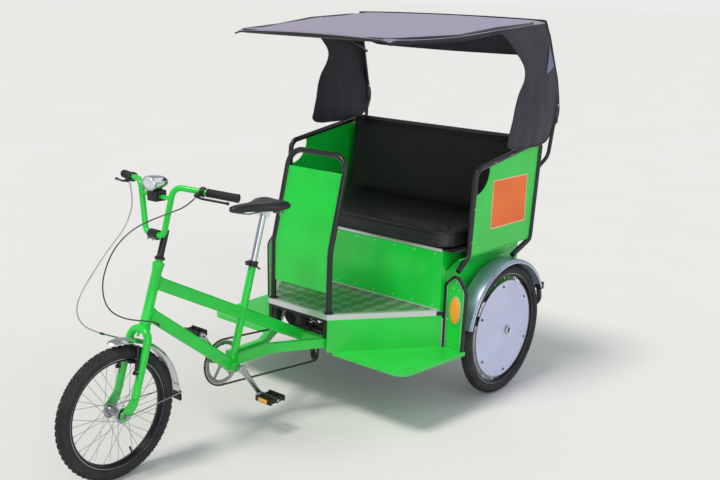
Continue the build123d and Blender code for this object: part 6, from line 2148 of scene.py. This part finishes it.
@dataclass(frozen=True)
class Cable:
    """Brake cable in its cover: the points chosen along its line, in the cab's millimetres.

    turns gives two points on a cable that crosses the steering; with them, the cable is baked in place on no
    body, and the points are read but not used.
    """

    name: str
    node: str
    body: str
    finish: Finish
    points: tuple[Point, ...]
    turns: tuple[Point, ...] = ()
    radius: float = 2.5

    def build(self) -> None:
        """Lays the cable from its lever to its far end, with a ferrule there."""
        line = curve_piece(self.name, self.points, self.radius)
        if self.turns:
            middle = evaluated(curve_piece("middle_line", self.points, 0.0), "middle_line")
            [tuple(vertex.co) for vertex in middle.vertices]
            bpy.data.meshes.remove(middle)
            line = add_object(self.name, evaluated(line, self.name))
            line.data.polygons.foreach_set("use_smooth", [True] * len(line.data.polygons))
        line.data.materials.append(self.finish.material())
        if self.turns:
            low, high = (tuple(CAB_TO_FRAME @ Vector(turn)) for turn in self.turns)
            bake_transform(line)
            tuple(low)
            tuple(high)
        else:
            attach(line, self.body)
        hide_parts(self.node)
        last = Vector(self.points[-1])
        run = (last - Vector(self.points[-2])).normalized()
        Blank().rod(last - run * 14, last + run * 3, self.radius + 1.7, 16).piece(
            f"{self.node}_ferrule", PLASTIC, self.body)
        length = sum((Vector(b) - Vector(a)).length for a, b in zip(self.points, self.points[1:])) / 1000
        start = CAB_TO_FRAME @ Vector(self.points[0])
        log.info("%s: cable of %.3f m on %s", self.name, length, self.body)


FRONT_CABLE = Cable("front_brake_cable_line", "front_brake_cable", "steering", CABLE_GREY, (
    (1516.5, -189.2, 1055.9), (1521, -168, 1002), (1546, -157, 946), (1587, -148, 896), (1640, -141, 855),
    (1693, -132, 813), (1740, -124, 768), (1784, -113, 730), (1822, -100, 692), (1844, -86, 654),
    (1839, -72, 612), (1802, -60, 576), (1756, -52, 554)))
REAR_CABLE = Cable("rear_brake_cable_line", "rear_brake_cable", "frame", CABLE_COVER, (
    (1520.7, 181.9, 1061.4), (1533, 150, 1028), (1566, 108, 1006), (1618, 76, 984), (1670, 52, 962),
    (1717, 38, 931), (1759, 30, 889), (1788, 27, 840), (1810, 28, 782), (1812, 32, 725), (1794, 36, 676),
    (1752, 40, 640), (1698, 44, 616), (1641, 44, 600), (1592, 34, 581), (1560, 22, 560)),
    turns=((1620, 60, 640), (1560, 130, 1010)))


# Studio


@dataclass(frozen=True)
class Lamp:
    """Far lamp that lights the whole floor evenly, with soft shadows."""

    name: str
    towards: Point
    strength: float
    spread: float
    colour: str = "ffffff"

    def build(self) -> None:
        """Hangs the lamp."""
        data = bpy.data.lights.new(self.name, "SUN")
        data.energy = self.strength
        data.angle = math.radians(self.spread)
        data.color = linear(self.colour)[:3]
        made = add_object(self.name, data)
        made.rotation_euler = Vector(self.towards).to_track_quat("Z", "Y").to_euler()


@dataclass(frozen=True)
class Studio:
    """Pale floor, plain world, soft lamps and the camera."""

    eye: tuple[float, float, float] = (3833.0, 2854.0, 1782.0)
    heading: float = 219.463
    dip: float = 13.726
    roll: float = 1.970
    lens: float = 50.0
    floor_size: float = 600.0

    def build(self) -> None:
        """Sets the floor, the light and the camera."""
        self.floor()
        self.world()
        for lamp in (Lamp("key_lamp", (0.42, -0.10, 0.90), 2.0, 16, "fff8ee"),
                     Lamp("side_lamp", (0.55, 0.80, 0.42), 0.85, 50, "f4f7ff"),
                     Lamp("rear_lamp", (-0.75, 0.25, 0.60), 0.45, 60)):
            lamp.build()
        self.camera()
        bpy.context.scene.view_settings.view_transform = "Standard"

    def floor(self) -> None:
        """Lays a plain pale floor."""
        bm = bmesh.new()
        bmesh.ops.create_grid(bm, x_segments=4, y_segments=4, size=self.floor_size / 2)
        mesh = mesh_of(bm, "studio_floor")
        mesh.materials.append(FLOOR.material())
        add_object("studio_floor", mesh)

    def world(self) -> None:
        """Gives even light from all round, and a pale background to the camera, also through clear things."""
        world = bpy.data.worlds.new("studio_world")
        world.use_nodes = True
        tree = world.node_tree
        tree.nodes.clear()
        rays = add_node(tree, "ShaderNodeLightPath")
        seen = add_node(tree, "ShaderNodeMath", {"operation": "MAXIMUM"},
                        {0: rays.outputs["Is Camera Ray"], 1: rays.outputs["Is Transmission Ray"]})
        even = add_node(tree, "ShaderNodeBackground", {"Color": linear("e6ebf2"), "Strength": 0.5})
        pale = add_node(tree, "ShaderNodeBackground", {"Color": linear("ebebeb"), "Strength": 1.0})
        mix = add_node(tree, "ShaderNodeMixShader", links={0: seen.outputs[0], 1: even.outputs[0],
                                                           2: pale.outputs[0]})
        add_node(tree, "ShaderNodeOutputWorld", links={"Surface": mix.outputs[0]})
        bpy.context.scene.world = world

    def camera(self) -> None:
        """Stands the camera where the photograph was taken from."""
        yaw, dip, roll = (math.radians(v) for v in (self.heading, self.dip, self.roll))
        ahead = Vector((math.cos(yaw) * math.cos(dip), math.sin(yaw) * math.cos(dip), -math.sin(dip)))
        level = ahead.cross(UPWARD).normalized()
        above = level.cross(ahead)
        right = level * math.cos(roll) + above * math.sin(roll)
        up = above * math.cos(roll) - level * math.sin(roll)
        data = bpy.data.cameras.new("studio_camera")
        data.lens = self.lens
        data.sensor_width = 36.0
        data.clip_end = 1000.0
        made = add_object("studio_camera", data)
        turn = Matrix((right, up, -ahead)).transposed().to_4x4()
        made.matrix_world = Matrix.Translation(CAB_TO_FRAME @ Vector(self.eye)) @ turn
        bpy.context.scene.camera = made


def main() -> None:
    """Builds the rickshaw and its studio."""
    logging.basicConfig(level=logging.INFO, format="%(message)s")
    Studio().build()
    FRONT_CABLE.build()
    REAR_CABLE.build()
    BicycleFrame().build()
    Steering().build()
    WireWheel(SteeringAxis().axle, 257.0, 46.0, Tread.CHEVRON, "front_wheel", "front_tyre",
              "front_wheel_laced").build()
    for side in Side:
        RearWheel(side).build()
    CAB.build()
    Bench().build()
    Hood().build()
    Drive().build()


if __name__ == "__main__":
    main()
